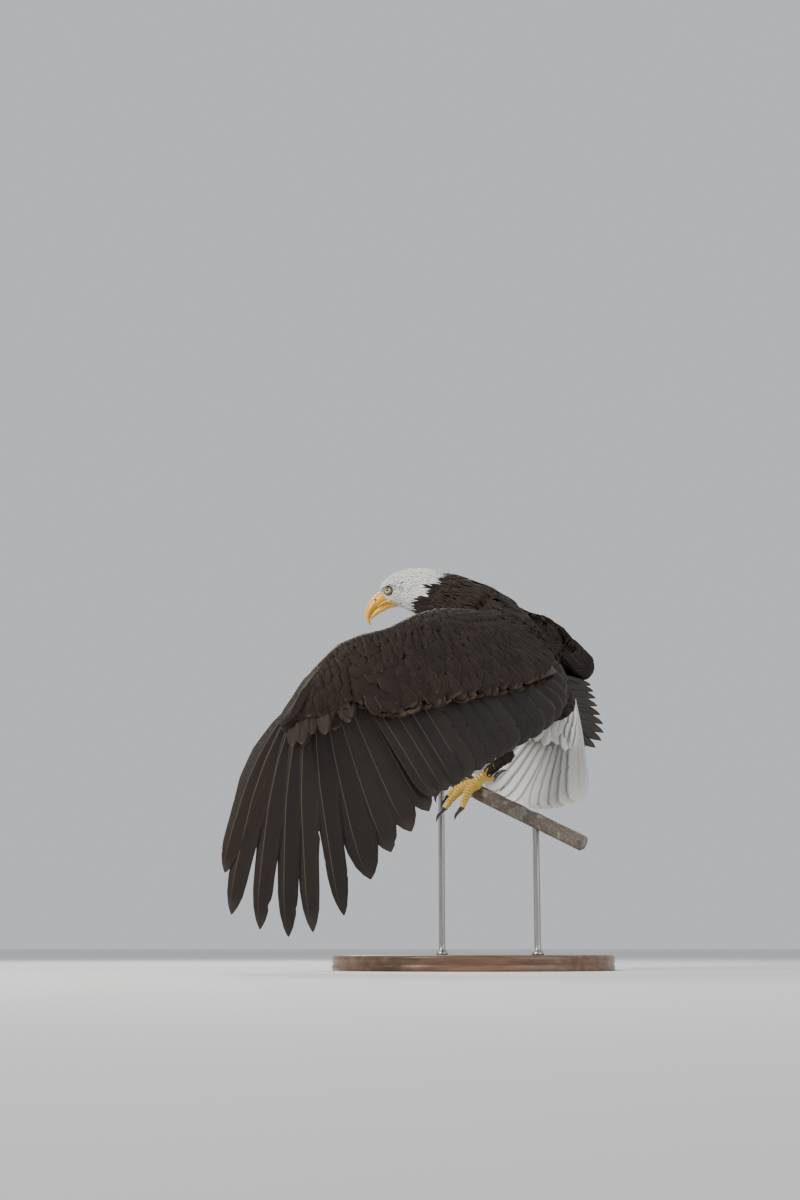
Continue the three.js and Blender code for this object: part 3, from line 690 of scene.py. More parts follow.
def contour(root, way, length, width, form, low, high, n=7, topSides=5,
            ragged=0.1, thick=0.0004, splay=0.12, kind=0.0, camber=0.05, **march):
    # small feathers that lie on the coat
    count = len(root)
    side = unit(np.cross(way, nearestOn(coatTree, root)[1]))
    way = unit(way + side * dice.normal(0, splay, (count, 1)))
    spine, up = hug(root, way, length, low, high, n, **march)
    along = unit(np.gradient(spine, axis=1))
    across = unit(np.cross(along, up))
    turn = dice.normal(0, 0.07, (count, 1, 1))
    across, up = unit(across + up * turn), unit(up - across * turn)
    t = tipward(n)
    f = np.interp(t, *np.array(vaneForms[form]).T)[None] * 0.5 * width[:, None]
    edge = 1 + dice.normal(0, ragged, (2, count, n)) * np.linspace(0.2, 1, n)
    thickness = np.full((count, n), thick) * np.linspace(1, 0.7, n)
    return vaneBatch(spine, across, up, f * edge[0], f * edge[1], thickness, f * 2 * camber, topSides, kind)


# where the body feathers start
facePoints = coatCo[np.array([f[:3] for f in skinFaces])]
edgeOne, edgeTwo = facePoints[:, 1] - facePoints[:, 0], facePoints[:, 2] - facePoints[:, 0]
faceArea = np.linalg.norm(np.cross(edgeOne, edgeTwo), axis=1)
faceOwner = skinOwner[firstCorner]
eyeMiddles = mm([-156.5, -43.5, 706], [-156.5, -12.5, 706])


def scatter(parts, spacing, tries=9):
    # random places on the named parts, none nearer to another than the spacing there
    faces = np.nonzero(np.isin(np.array(fleshNodes)[faceOwner], parts))[0]
    weight = faceArea[faces] / spacing(coatCo[firstCorner[faces]]) ** 2
    number = int(tries * weight.sum())
    pick = faces[dice.choice(len(faces), number, p=weight / weight.sum())]
    a, b = dice.random((2, number, 1))
    corner = facePoints[pick]
    points = corner[:, 0] + (corner[:, 1] - corner[:, 0]) * a + (corner[:, 2] - corner[:, 1]) * b * a
    gap = spacing(points)
    cell = gap.max()
    grid, kept = {}, []
    for i, ((x, y, z), g) in enumerate(zip(points.tolist(), gap.tolist())):
        key = (int(x // cell), int(y // cell), int(z // cell))
        around = [tuple(k + step for k, step in zip(key, steps)) for steps in product((-1, 0, 1), repeat=3)]
        others = (q for spot in around for q in grid.get(spot, ()))
        if not any((x - q[0]) ** 2 + (y - q[1]) ** 2 + (z - q[2]) ** 2 < g * g for q in others):
            grid.setdefault(key, []).append((x, y, z))
            kept.append(i)
    corner = firstCorner[pick[kept]]
    return points[kept], lay[corner], sink[corner]


whiteSetup = {
    "height": [640, 657, 672, 688, 699, 714, 725, 738, 755],
    "border": [-128, -124, -122, -115, -104, -98, -84, -72, -50],
}


def isWhite(p):
    # the white ends on a slant: lower down on the throat, and runs on a little over the nape
    x, y, z = p.T * 1000
    over = np.interp(z, whiteSetup["height"], whiteSetup["border"])
    return x < over + 6 * np.sin(z * 0.31 + y * 0.23) + dice.normal(0, 3, len(p))


def graded(place, fromTo, values):
    # millimetre values that change over a stretch of the body
    order = np.argsort(fromTo)
    return np.interp(place * 1000, np.array(fromTo)[order], np.array(values)[order]) / 1000


# head and neck; each pair runs from the front or the top of the region to its far end
headSetup = {"length": (7.0, 26.0), "width": (1.9, 3.9), "gap": (1.6, 2.7), "lift": 0.55, "bareRound": 8.6}
points, ways, depth = scatter(["head"], lambda p: graded(p[:, 0], (-166, -80), headSetup["gap"]))
fromEye = np.min([np.linalg.norm(points - e, axis=1) for e in eyeMiddles], axis=0)
ok = fromEye > headSetup["bareRound"] / 1000
points, ways, depth = points[ok], ways[ok], depth[ok]
t = smooth(-168, -84, points[:, 0] * 1000)
low = smooth(0.69, 0.66, points[:, 2])
size = span(headSetup["length"], t) + 4 * low * t
width = span(headSetup["width"], t)
white = isWhite(points)
jitter = dice.uniform(0.8, 1.2, len(points))


def coatOf(pick, form, high, **more):
    # the picked feathers of the region at hand
    if not pick.any():
        return None
    length, high = size * jitter / 1000, np.broadcast_to(high, len(points)) / 1000
    return contour(points[pick], ways[pick], length[pick], width[pick] / 1000, form, depth[pick], high[pick], **more)


high = headSetup["lift"] * (0.25 + t + low) * dice.uniform(0.3, 1.3, len(points))
headWhite = coatOf(white, "lance", high, n=6, topSides=3, thick=0.00028, splay=0.1, camber=0.04)
headBrown = coatOf(~white, "lance", high, n=6, topSides=3, thick=0.00028, splay=0.1, camber=0.04)

neckSetup = {"length": (24, 46), "width": (3.8, 10), "gap": (3.1, 6.6), "lift": 1.8}
points, ways, depth = scatter(["neck"], lambda p: graded(p[:, 0], (-75, 10), neckSetup["gap"]))
t = smooth(-80, 20, points[:, 0] * 1000)
size = span(neckSetup["length"], t)
width = span(neckSetup["width"], t)
white = isWhite(points)
jitter = dice.uniform(0.8, 1.2, len(points))
high = neckSetup["lift"] * dice.uniform(0.3, 1.4, len(points))
neckWhite = coatOf(white, "lance", high, n=6, splay=0.15)
neckBrown = coatOf(~white, "lance", high, n=7, splay=0.17, kind=0.5)
featherPiece("head_feathers", [headWhite, neckWhite], whiteHackle, "feather_white", "head")
featherPiece("neck_feathers", [neckBrown, headBrown], hackleFeather, "feather_brown", "neck")

# trunk and thighs
trunkSetup = {"length": (44, 68), "width": (14, 25), "gap": (8.0, 11.5), "lift": 2.6}
points, ways, depth = scatter(["trunk"], lambda p: graded(p[:, 0], (0, 120), trunkSetup["gap"]))
t = smooth(-10, 150, points[:, 0] * 1000)
size = span(trunkSetup["length"], t)
size = size * (1 - 0.6 * smooth(135, 180, points[:, 0] * 1000))
width = span(trunkSetup["width"], t)
jitter = dice.uniform(0.8, 1.2, len(points))
every = np.ones(len(points), bool)
high = trunkSetup["lift"] * dice.uniform(0.2, 1.3, len(points))
trunkBrown = coatOf(every, "round", high, n=10, splay=0.12, kind=0.3)
featherPiece("body_feathers", [trunkBrown], brownFeather, "feather_brown", "trunk")
print("head, neck and trunk coats set")

footTop = {"left": mm(14, -45, 348), "right": mm(-29, 19, 371)}
thighSetup = {"length": (40, 22), "width": (14, 6), "gap": (8.5, 4.2), "lift": 3.5}
# the same on the shank, from the bare part above the foot up
shankSetup = {"from": (24, 60), "length": (12, 26), "width": (4, 7), "gap": 3.4, "lift": 2.5}
batches = []
for side in ("left", "right"):
    points, ways, depth = scatter([f"leg_{side}_thigh"], lambda p: graded(p[:, 2], (520, 390), thighSetup["gap"]))
    t = smooth(520, 390, points[:, 2] * 1000)
    size = span(thighSetup["length"], t)
    width = span(thighSetup["width"], t)
    jitter = dice.uniform(0.8, 1.2, len(points))
    every = np.ones(len(points), bool)
    high = thighSetup["lift"] * dice.uniform(0.2, 1.3, len(points))
    batches.append(coatOf(every, "lance", high, n=8, splay=0.16, kind=0.4))
    # the trousers hang on over most of the shank
    points, ways, depth = scatter([f"leg_{side}_shank"], lambda p: np.full(len(p), shankSetup["gap"] / 1000))
    away = np.linalg.norm(points - footTop[side], axis=1) * 1000
    every = away > shankSetup["from"][0]
    size, width = (np.interp(away, shankSetup["from"], shankSetup[key]) for key in ("length", "width"))
    jitter = dice.uniform(0.8, 1.2, len(points))
    high = shankSetup["lift"] * dice.uniform(0.2, 1.3, len(points))
    batches.append(coatOf(every, "lance", high, n=7, splay=0.2))
featherPiece("thigh_feathers", batches, brownFeather, "feather_brown", "leg_left_thigh", "leg_right_thigh")
print("trousers set")

# the coverts of the left wing stand in rows
leftRows = {
    # part of the chord, length, width, distance between neighbours, lift at the tip
    "arm": [
        [0.01, 20, 9, 6, 0.6], [0.06, 24, 11, 7, 0.8], [0.12, 28, 13, 8, 1], [0.18, 32, 15, 9, 1],
        [0.25, 38, 18, 10, 1.2], [0.32, 44, 21, 12, 1.3], [0.40, 50, 25, 14, 1.5],
        [0.49, 58, 29, 16, 1.8], [0.58, 66, 34, 18, 2.2], [0.68, 80, 38, 20, 3],
    ],
    "hand": [
        [0.01, 20, 9, 6, 0.6], [0.12, 26, 11, 7, 0.8], [0.24, 34, 14, 9, 1],
        [0.36, 44, 18, 11, 1.5], [0.48, 56, 22, 13, 2], [0.62, 84, 27, 14, 3],
    ],
}


def treeOver(*sheets):
    # the coat's surface together with the sheets of quills behind it
    halves = [[f[:3] for f in skinFaces], [(f[0], f[2], f[3]) for f in skinFaces]]
    verts, faces = [coatCo], [np.concatenate(halves)]
    for name in sheets:
        co, tri = nodeMesh(name)
        faces.append(tri + sum(len(v) for v in verts))
        verts.append(co)
    return BVHTree.FromPolygons(np.concatenate(verts).tolist(), np.concatenate(faces).tolist())


wingTree = treeOver("wing_left_primaries", "wing_left_secondaries")


def leftWingRows(face):
    # face is 1 for the upper side of the wing and -1 for its lining
    out = []
    up = face * leftWing["dorsal"]
    for part, lo, hi in (("arm", 0.1, leftWing["wrist"]), ("hand", leftWing["wrist"], 0.985)):
        for v, length, width, apart, lift in leftRows[part]:
            u = np.linspace(lo, hi, 400)
            line = through(leftWing["front"], u) * (1 - v) + through(leftWing["back"], u) * v
            run = np.concatenate([[0], np.cumsum(np.linalg.norm(np.diff(line, axis=0), axis=1))])
            number = max(int(run[-1] / (apart / 1000)), 2)
            places = (np.arange(number) + dice.uniform(0.35, 0.65, number)) / number
            u = np.interp(places * run[-1], run, u)
            front, back = through(leftWing["front"], u), through(leftWing["back"], u)
            chord = unit(back - front)
            vv = v + dice.normal(0, 0.01, number)
            at = front + (back - front) * vv[:, None]
            at = at + up * np.interp(u, np.linspace(0, 1, 13), leftWing["thick"])[:, None] * 0.5
            at, _, index = nearestOn(coatTree, at)
            share = min(1, v * 1.25)
            way = unit(chord * (1 - share) + leftFlightWay(np.maximum(u, 0.22)) * share)
            shrink = np.interp(u, [0, 0.12, 0.3, 0.9, 1], [0.5, 0.55, 1, 1, 0.7])
            size = length * shrink * dice.uniform(0.92, 1.08, number) / 1000
            high = lift / 1000 * dice.uniform(0.5, 1.2, number)
            loose = {"ragged": 0.15, "splay": 0.13} if length < 45 else {"ragged": 0.07, "splay": 0.07}
            loose.update(n=11 if length < 60 else 18, kind=1.0 if length > 80 else 0.2, camber=0.035)
            deep = sink[firstCorner[index]]
            widths = width * shrink / 1000
            out.append(contour(at, way, size, widths, "round", deep, high, tree=wingTree, plane=up, **loose))
    return out


featherPiece("wing_left_coverts", leftWingRows(1), brownFeather, "feather_brown", "wing_left_arm", "wing_left_hand")
featherPiece("wing_left_lining", leftWingRows(-1), brownFeather, "feather_brown", "wing_left_arm", "wing_left_hand")

# the right wing is half folded; small coverts grow larger from its leading edge to the rear
rightTree = treeOver("wing_right_primaries", "wing_right_secondaries")
rightCoat = {"length": (18, 62), "width": (9, 26), "gap": (7, 12), "lift": 2}
rightParts = ["wing_right_arm", "wing_right_hand"]
points, ways, depth = scatter(rightParts, lambda p: graded(p[:, 0], (-60, 120), rightCoat["gap"]))
t = smooth(-65, 110, points[:, 0] * 1000)
size, width = span(rightCoat["length"], t), span(rightCoat["width"], t)
jitter = dice.uniform(0.85, 1.15, len(points))
every = np.ones(len(points), bool)
high = rightCoat["lift"] * dice.uniform(0.3, 1.2, len(points))
batches = [coatOf(every, "round", high, n=10, splay=0.07, kind=0.3, tree=rightTree)]
rightRows = {
    # the line that the roots stand on, the way they point, number, length, width,
    # face of the wing, and dip toward the quills
    "outer coverts": (
        [(-66, 128, 636), (-30, 168, 620), (40, 216, 610), (104, 256, 601), (160, 288, 592)],
        (0.66, 0.72, -0.22), 22, 74, 26, 1, 0.2,
    ),
    "inner row": (
        [(-56, 118, 642), (-24, 152, 628), (44, 198, 616), (112, 240, 606), (160, 270, 600)],
        (0.70, 0.68, -0.16), 20, 62, 26, 1, 0.1,
    ),
    "outer lining": (
        [(-66, 128, 636), (-30, 168, 620), (40, 216, 610), (104, 256, 601), (156, 284, 592)],
        (0.72, 0.68, -0.20), 22, 76, 26, -1, 0.24,
    ),
    "inner lining": (
        [(-50, 112, 640), (0, 150, 626), (60, 176, 620), (130, 200, 616), (176, 226, 612)],
        (0.80, 0.58, -0.16), 20, 84, 28, -1, 0.12,
    ),
    "tertials": (
        [(104, 138, 680), (176, 186, 658), (168, 246, 634), (154, 280, 604)],
        (0.80, 0.52, -0.36), 14, 76, 32, 1, 0.2,
    ),
    "long tertials": (
        [(92, 116, 684), (136, 128, 682), (178, 170, 666)],
        (0.82, 0.34, -0.46), 11, 94, 34, 1, 0.2,
    ),
    "lining end": (
        [(120, 150, 650), (184, 196, 630), (170, 256, 605)],
        (0.80, 0.52, -0.30), 12, 66, 32, -1, 0.2,
    ),
}
for line, way, number, length, width, face, dip in rightRows.values():
    u = (np.arange(number) + 0.5) / number
    at, _, index = nearestOn(coatTree, through(mm(*line), u) + rightWing["dorsal"] * face * 0.02)
    ways = np.broadcast_to(unit(way), at.shape)
    march = {"tree": rightTree, "plane": unit(face * rightWing["dorsal"] + unit(way) * dip)}
    # feathers that would stand clear of the wing are left out
    level, high = np.zeros(number), np.full(number, 0.002)
    tips = hug(at, ways, np.full(number, length / 1000), level, high, 12, **march)[0][:, -1]
    on = np.linalg.norm(tips - nearestOn(rightTree, tips)[0], axis=1) < 0.006
    count = on.sum()
    lengths, widths = length * dice.uniform(0.88, 1.08, count) / 1000, np.full(count, width / 1000)
    march.update(n=18, ragged=0.05, thick=0.0006, splay=0.05, kind=1.0, camber=0.05)
    deep = sink[firstCorner[index[on]]]
    batches.append(contour(at[on], ways[on], lengths, widths, "round", deep, np.full(count, 0.0015), **march))

shoulderRows = [
    # feathers that hang from the shoulder and the back over both wing roots: as above, without face and dip
    ([(4, 44, 690), (40, 56, 680), (84, 62, 650), (116, 62, 615)], (0.80, 0.42, -0.42), 13, 88, 30),
    ([(-4, 30, 706), (34, 40, 700), (74, 50, 672), (104, 54, 640)], (0.84, 0.34, -0.42), 13, 80, 28),
    ([(30, 66, 690), (70, 78, 692), (110, 92, 688)], (0.86, 0.1, -0.50), 9, 84, 30),
]
for line, way, number, length, width in shoulderRows:
    u = (np.arange(number) + 0.5) / number
    at, _, index = nearestOn(coatTree, through(mm(*line), u))
    ways = np.broadcast_to(unit(way), at.shape)
    lengths, widths = length * dice.uniform(0.85, 1.1, number) / 1000, np.full(number, width / 1000)
    march = {"tree": rightTree, "plane": unit([0.2, 0.4, 0.85]), "n": 16, "ragged": 0.05}
    march.update(thick=0.0006, splay=0.08, kind=0.9, camber=0.05)
    deep = sink[firstCorner[index]]
    batches.append(contour(at, ways, lengths, widths, "round", deep, np.full(number, 0.003), **march))
featherPiece("wing_right_coverts", batches, brownFeather, "feather_brown", *rightParts)
print("wing coverts set")


flightForms = {
    # half width along the feather, as parts of the full width
    "finger": [
        [0, 0.16], [0.12, 0.6], [0.3, 0.98], [0.48, 1], [0.58, 0.84], [0.7, 0.72],
        [0.84, 0.66], [0.91, 0.54], [0.96, 0.34], [0.99, 0.13], [1, 0.02],
    ],
    "broad": [[0, 0.2], [0.15, 0.7], [0.4, 0.95], [0.85, 1], [0.93, 0.86], [0.975, 0.56], [1, 0.06]],
    "pointed": [[0, 0.2], [0.15, 0.7], [0.4, 0.95], [0.78, 1], [0.86, 0.9], [0.93, 0.66], [0.975, 0.34], [1, 0.03]],
    "tail": [[0, 0.25], [0.3, 0.62], [0.7, 0.96], [0.88, 1], [0.95, 0.86], [0.985, 0.5], [1, 0.06]],
}
quillSetup = {"thick": 0.0011, "camber": 0.05}


def bigFeathers(root, tip, normal, width, form, leadPart, bow, sweep, twist, n=64, splits=3):
    # the leading web lies on the minus side of across
    count = len(root)
    per = lambda v: np.broadcast_to(np.asarray(v, float), count)[:, None]
    t = np.linspace(0, 1, n)
    line = tip - root
    length = np.linalg.norm(line, axis=1, keepdims=True)
    along = unit(line)
    across = unit(np.cross(np.broadcast_to(normal, root.shape), along))
    out = unit(np.cross(along, across))
    out = np.where((out * normal).sum(1, keepdims=True) < 0, -out, out)
    arch = (4 * t * (1 - t))[None, :, None]
    spine = root[:, None] + line[:, None] * t[None, :, None]
    spine = spine + out[:, None] * arch * (per(bow) * length)[:, :, None]
    spine = spine + across[:, None] * arch * (per(sweep) * length)[:, :, None]
    angle = per(twist)[..., None] * (1 - 0.3 * t)[None, :, None]
    flat = across[:, None] * np.cos(angle) + out[:, None] * np.sin(angle)
    face = out[:, None] * np.cos(angle) - across[:, None] * np.sin(angle)
    shape = np.interp(t, *np.array(flightForms[form]).T)[None] * per(width)
    lead, trail = shape * leadPart, shape * (1 - leadPart)
    spine = spine - flat * ((0.5 - leadPart) * shape)[..., None]
    for k in range(count):
        # the barbs part here and there and close again
        for _ in range(splits):
            at = dice.uniform(0.45, 0.97)
            reach = dice.uniform(0.010, 0.018)
            cut = dice.uniform(0.04, 0.2)
            notch = 1 - cut * np.exp(-(((t - at) / reach) ** 2) * 3)
            if dice.random() < 0.7:
                trail[k] *= notch
            else:
                lead[k] *= 1 - (1 - notch) * 0.6
    wave = np.array([np.interp(t, np.linspace(0, 1, 14), dice.normal(0, 0.02, 14)) for _ in range(count)])
    trail = trail * (1 + wave)
    thickness = np.full((count, n), quillSetup["thick"]) * np.linspace(1.15, 0.7, n)
    return vaneBatch(spine, flat, face, lead, trail, thickness, shape * quillSetup["camber"], 9, 1.0)


leftSetup = {"finger": 0.052, "broad": 0.060, "twist": -0.17, "sweep": -0.035, "fingers": 6}
t = np.linspace(0, 1, 10)
root, tip = primaryLine(t)
inFinger = np.arange(10) < leftSetup["fingers"]
d = leftWing["dorsal"]
stack = (np.arange(10) * 0.0007)[:, None] * d  # each vane lies a little over the one outside it
root, tip, sweep = root + stack, tip + stack, leftSetup["sweep"] * (1 - t)
batches = []
for pick, width, form, leadPart, n in [
    (inFinger, leftSetup["finger"], "finger", 0.3, 80),
    (~inFinger, leftSetup["broad"], "pointed", 0.32, 72),
]:
    picked = root[pick], tip[pick], d, width, form, leadPart
    batches.append(bigFeathers(*picked, 0.02, sweep[pick], leftSetup["twist"], n))
featherPiece("wing_left_primary_vanes", batches, flightFeather, "flight_feather", "wing_left_primaries")

alulaSetup = {
    # three feathers along the leading edge beyond the wrist: share of the wing's length at root and tip,
    # how far they lie in from the edge and on past it
    "width": 0.023,
    "share": [0.8, 0.82, 0.84, 1, 1, 1],
    "inward": [17, 15, 13, 8, 13, 18],
    "onward": [0, 0, 0, 15, 7, -3],
}
edge = through(leftWing["front"], alulaSetup["share"])
inward = unit(through(leftWing["back"], alulaSetup["share"]) - edge) * mm(*alulaSetup["inward"])[:, None]
onward = unit(through(leftWing["front"], 1) - through(leftWing["front"], 0.93)) * mm(*alulaSetup["onward"])[:, None]
edge = edge + inward + onward
root, tip = edge[:3] + d * 0.012, edge[3:] + d * 0.009
alula = bigFeathers(root, tip, d, alulaSetup["width"], "pointed", 0.36, 0.02, 0.0, -0.15, n=40, splits=1)
featherPiece("wing_left_alula", [alula], flightFeather, "flight_feather", "wing_left_hand")

t = (np.arange(15) + 0.4) / 15
root, tip = through(leftWing["secondRoots"], t), through(leftWing["secondTips"], t)
spread = np.linalg.norm(np.gradient(through(leftWing["secondTips"], t), axis=0), axis=1)
width = np.clip(spread * 1.9, 0.044, 0.062)
batches = [bigFeathers(root, tip, d, width, "broad", 0.34, 0.04, 0.0, leftSetup["twist"], n=60)]
featherPiece("wing_left_secondary_vanes", batches, flightFeather, "flight_feather", "wing_left_secondaries")

rightSetup = {"secondaries": 0.05, "primaries": 0.048}
d = rightWing["dorsal"]
t = (np.arange(14) + 0.4) / 14
root, tip = through(rightWing["secondRoots"], t), through(rightWing["secondTips"], t)
batches = [bigFeathers(root, tip, d, rightSetup["secondaries"], "broad", 0.66, 0.03, 0.0, 0.15, n=56)]
featherPiece("wing_right_secondary_vanes", batches, flightFeather, "flight_feather", "wing_right_secondaries")
t = np.linspace(0.02, 1.0, 11)
root, tip = through(rightWing["primaryRoots"], t), through(rightWing["primaryTips"], t)
batches = [bigFeathers(root, tip, d, rightSetup["primaries"], "finger", 0.7, 0.02, 0.0, 0.13, n=72)]
featherPiece("wing_right_primary_vanes", batches, flightFeather, "flight_feather", "wing_right_primaries")

# the tail: its root, the way it points and the way it is fanned
tailRoot, tailDown, tailAcross = mm(181, 53, 516), unit([-0.411, -0.212, -0.887]), unit([-0.842, 0.461, 0.28])
tailBack = unit(np.cross(tailAcross, tailDown))
tailBack = tailBack * np.sign(tailBack[0])
tailSetup = {"length": 0.234, "opening": 64, "width": 0.046}
x = np.linspace(-1, 1, 13)[:-1] + 1 / 12
a = np.radians(tailSetup["opening"] / 2) * x
reach = tailSetup["length"] * (0.97 + 0.03 * (1 - x**2))
root = tailRoot + tailAcross * (0.022 * x)[:, None] + tailBack * (0.009 * (1 - x**2))[:, None]
tip = tailRoot + tailDown * (reach * np.cos(a))[:, None] + tailAcross * (reach * np.sin(a))[:, None]
tip = tip + tailBack * (0.016 * (1 - x**2))[:, None]
lift = tailBack * ((1 - np.abs(x)) * 0.006)[:, None]
root, tip = root + lift, tip + lift
tailVanes = []
for pick, leadPart, twist in ((x < 0, 0.42, 0.12), (x >= 0, 0.58, -0.12)):
    tailVanes.append(bigFeathers(root[pick], tip[pick], tailBack, tailSetup["width"], "tail", leadPart,
                                 0.02, 0.0, twist, n=56, splits=4))

stumpSetup = {
    # the fleshy root of the tail: its line, and its half thickness and half breadth along that
    "line": mm([176, 51, 522], [184, 53, 506], [177, 48, 486], [168, 44, 462], [157, 38, 432]),
    "radii": np.array([[14, 20], [17, 24], [16, 28], [12, 28], [3, 26]]) / 1000,
    # rows of short feathers round it: place along the line, length, width, number
    "rows": [
        (0.02, 0.05, 0.02, 18), (0.16, 0.06, 0.022, 18), (0.3, 0.066, 0.024, 18),
        (0.46, 0.07, 0.026, 16), (0.62, 0.066, 0.026, 14),
    ],
}
ringAngle = np.linspace(0, 2 * math.pi, 24, endpoint=False)
u = np.linspace(0, 1, 24)
centre, radii = through(stumpSetup["line"], u), through(stumpSetup["radii"], u)
rings = centre[:, None] + tailBack * (np.cos(ringAngle) * radii[:, :1])[..., None]
rings = rings + tailAcross * (np.sin(ringAngle) * radii[:, 1:])[..., None]


def stumpFeathers():
    out = []
    line = np.linspace(0, 1, 12)
    for row, (u0, length, width, number) in enumerate(stumpSetup["rows"]):
        shift = 0.5 * (row % 2) + dice.uniform(-0.15, 0.15, number)
        angle = (np.arange(number) + shift) / number * 2 * math.pi
        c, r = (through(stumpSetup[key], np.full(number, u0)) for key in ("line", "radii"))
        cos, sin = np.cos(angle), np.sin(angle)
        nrm = unit(tailBack * (cos / r[:, 0])[:, None] + tailAcross * (sin / r[:, 1])[:, None])
        at = c + tailBack * (cos * r[:, 0])[:, None] + tailAcross * (sin * r[:, 1])[:, None]
        way = unit(tailDown + tailAcross * (0.42 * sin)[:, None] - nrm * 0.12)
        tip = at + way * (length * dice.uniform(0.9, 1.1, (number, 1)))
        spine = (at - nrm * 0.001)[:, None] * (1 - line)[None, :, None]
        spine = spine + (tip + nrm * 0.002)[:, None] * line[None, :, None]
        spine = spine + nrm[:, None] * (np.sin(line * math.pi) * 0.004)[None, :, None]
        along = unit(np.gradient(spine, axis=1))
        side = unit(np.cross(along, nrm[:, None]))
        up = unit(np.cross(side, along))
        f = np.interp(line, *np.array(vaneForms["round"]).T)[None] * 0.5 * np.full((number, 1), width)
        edge = 1 + dice.normal(0, 0.04, (2, number, 12))
        thickness = np.full((number, 12), 0.0007)
        out.append(vaneBatch(spine, side, up, f * edge[0], f * edge[1], thickness, f * 0.25, 7, 0.6))
    return out


featherPiece("tail_vanes", tailVanes + stumpFeathers(), whiteFeather, "feather_white", "tail")

s = Shade("tail_down")
down = s.ramp(s.noise(s.place(), 300.0, 3.0), [(0.3, (0.62, 0.6, 0.55)), (0.7, (0.8, 0.79, 0.75))])
tailDownFinish = s.finish(down, 0.85)
wear(tubePiece("tail_root", rings), tailDownFinish, "feather_white", "tail")
print("flight feathers and tail set")


# the skin is brown, pale under the white feathers and yellow on the feet
s = Shade("skin")
mark = s.parts(s.field("mark"))
spot = s.place()
mottle = s.noise(spot, 900.0, 4.0, 0.6)
scales = s.node("ShaderNodeTexVoronoi", 0, {"Vector": spot, "Scale": 420.0}, feature="DISTANCE_TO_EDGE")
brown = s.mix(mottle, (0.035, 0.024, 0.017), (0.09, 0.065, 0.048))
pale = s.mix(mottle, (0.55, 0.53, 0.48), (0.78, 0.76, 0.71))
yellow = s.mix(s.between(scales, 0.0, 0.12), (0.46, 0.27, 0.05), (0.78, 0.52, 0.10))
colour = s.mix(mark[0], brown, pale)
colour = s.mix(mark[1], colour, yellow)
bump = s.math("ADD", s.times(mottle, 0.5), s.times(s.between(scales, 0.0, 0.15), mark[1]))
skinFinish = s.finish(colour, 0.6, bump, 0.6, 0.0006)
white = isWhite(sunkCo + mm(8, 0, 0)) & np.isin(np.array(fleshNodes)[skinOwner], ["head", "neck"])
marks = np.stack([white.astype(float), footish.astype(float), np.zeros(len(white))], -1)
layer = skin.data.attributes.new("mark", "FLOAT_VECTOR", "POINT")
layer.data.foreach_set("vector", marks.astype(np.float32).ravel())
wear(skin, skinFinish, "feather_brown", *fleshNodes)


billSetup = {
    # rows from the face to the tip: x and z of the ridge or cutting edge, then of the other edge, in millimetres
    "upper": mm(
        [-156, 707, -148, 687], [-172, 706.5, -160, 684], [-183, 699, -171, 679], [-193, 687.5, -180, 673],
        [-200, 673, -187, 665], [-201.5, 660, -191.5, 656], [-198, 649, -191.5, 649], [-190.5, 638.5, -189.5, 638],
    ),
    "upperHalf": np.array([12, 12, 11, 9.5, 8, 6, 4, 0.6]) / 1000,
    "lower": mm(
        [-136, 690, -134, 684], [-147, 685, -143, 677], [-160, 682, -156, 673.5], [-172, 677, -168, 667.5],
        [-183, 670, -179, 660.5], [-189, 661, -187.5, 654.5], [-191, 656.5, -190, 653],
    ),
    "lowerHalf": np.array([6, 9, 9, 8, 6.5, 4.5, 1.6]) / 1000,
    "middle": -0.028,
    "nostril": (-0.1815, 0.6885),
    "nostrilSize": (0.0036, 0.0019),
    "cereEnd": -0.176,
}


def billPiece(name, rows, halves, keel, count, sides):
    u = np.linspace(0, 1, count)
    line, half = through(rows, u), through(halves, u)
    angle = np.linspace(0, 2 * math.pi, sides, endpoint=False)
    top, low = line[:, :2], line[:, 2:]
    # the section is narrow along the ridge and fuller toward the cutting edge
    h = np.cos(angle)
    wide = np.sign(np.sin(angle)) * np.abs(np.sin(angle)) ** 0.85 * (1 - keel * 0.42 * np.clip(h, 0, 1) ** 1.5)
    share = (0.5 + 0.5 * h * keel)[None, :, None]
    plane = low[:, None] * (1 - share) + top[:, None] * share
    verts = np.stack([plane[..., 0], billSetup["middle"] + wide[None] * half[:, None], plane[..., 1]], -1)
    info = np.zeros(verts.shape)
    if keel > 0:
        a, b = billSetup["nostril"], billSetup["nostrilSize"]
        dx, dz = verts[..., 0] - a[0], verts[..., 2] - a[1]
        x = dx * 0.80 + dz * 0.6
        z = -dx * 0.6 + dz * 0.80
        nostrilDentAndShade = np.exp(-((x / b[1]) ** 2 + (z / b[0]) ** 2) ** 1.5)
        inward = -np.sign(verts[..., 1] - billSetup["middle"])
        onSide = np.abs(verts[..., 1] - billSetup["middle"]) > 0.003
        verts[..., 1] += inward * nostrilDentAndShade * 0.0024 * onSide
        # the same nostril mask drives the dent above and the painted shade in the bill's colour
        info[..., 0] = nostrilDentAndShade * onSide
        border = billSetup["cereEnd"] + 0.28 * (verts[..., 2] - 0.69)
        cere = smooth(-0.003, 0.001, verts[..., 0] - border)
        verts[..., 1] -= inward * cere * 0.0007
        info[..., 1] = cere
    info[..., 2] = u[:, None]
    return tubePiece(name, verts, {"mark": info.reshape(-1, 3)})


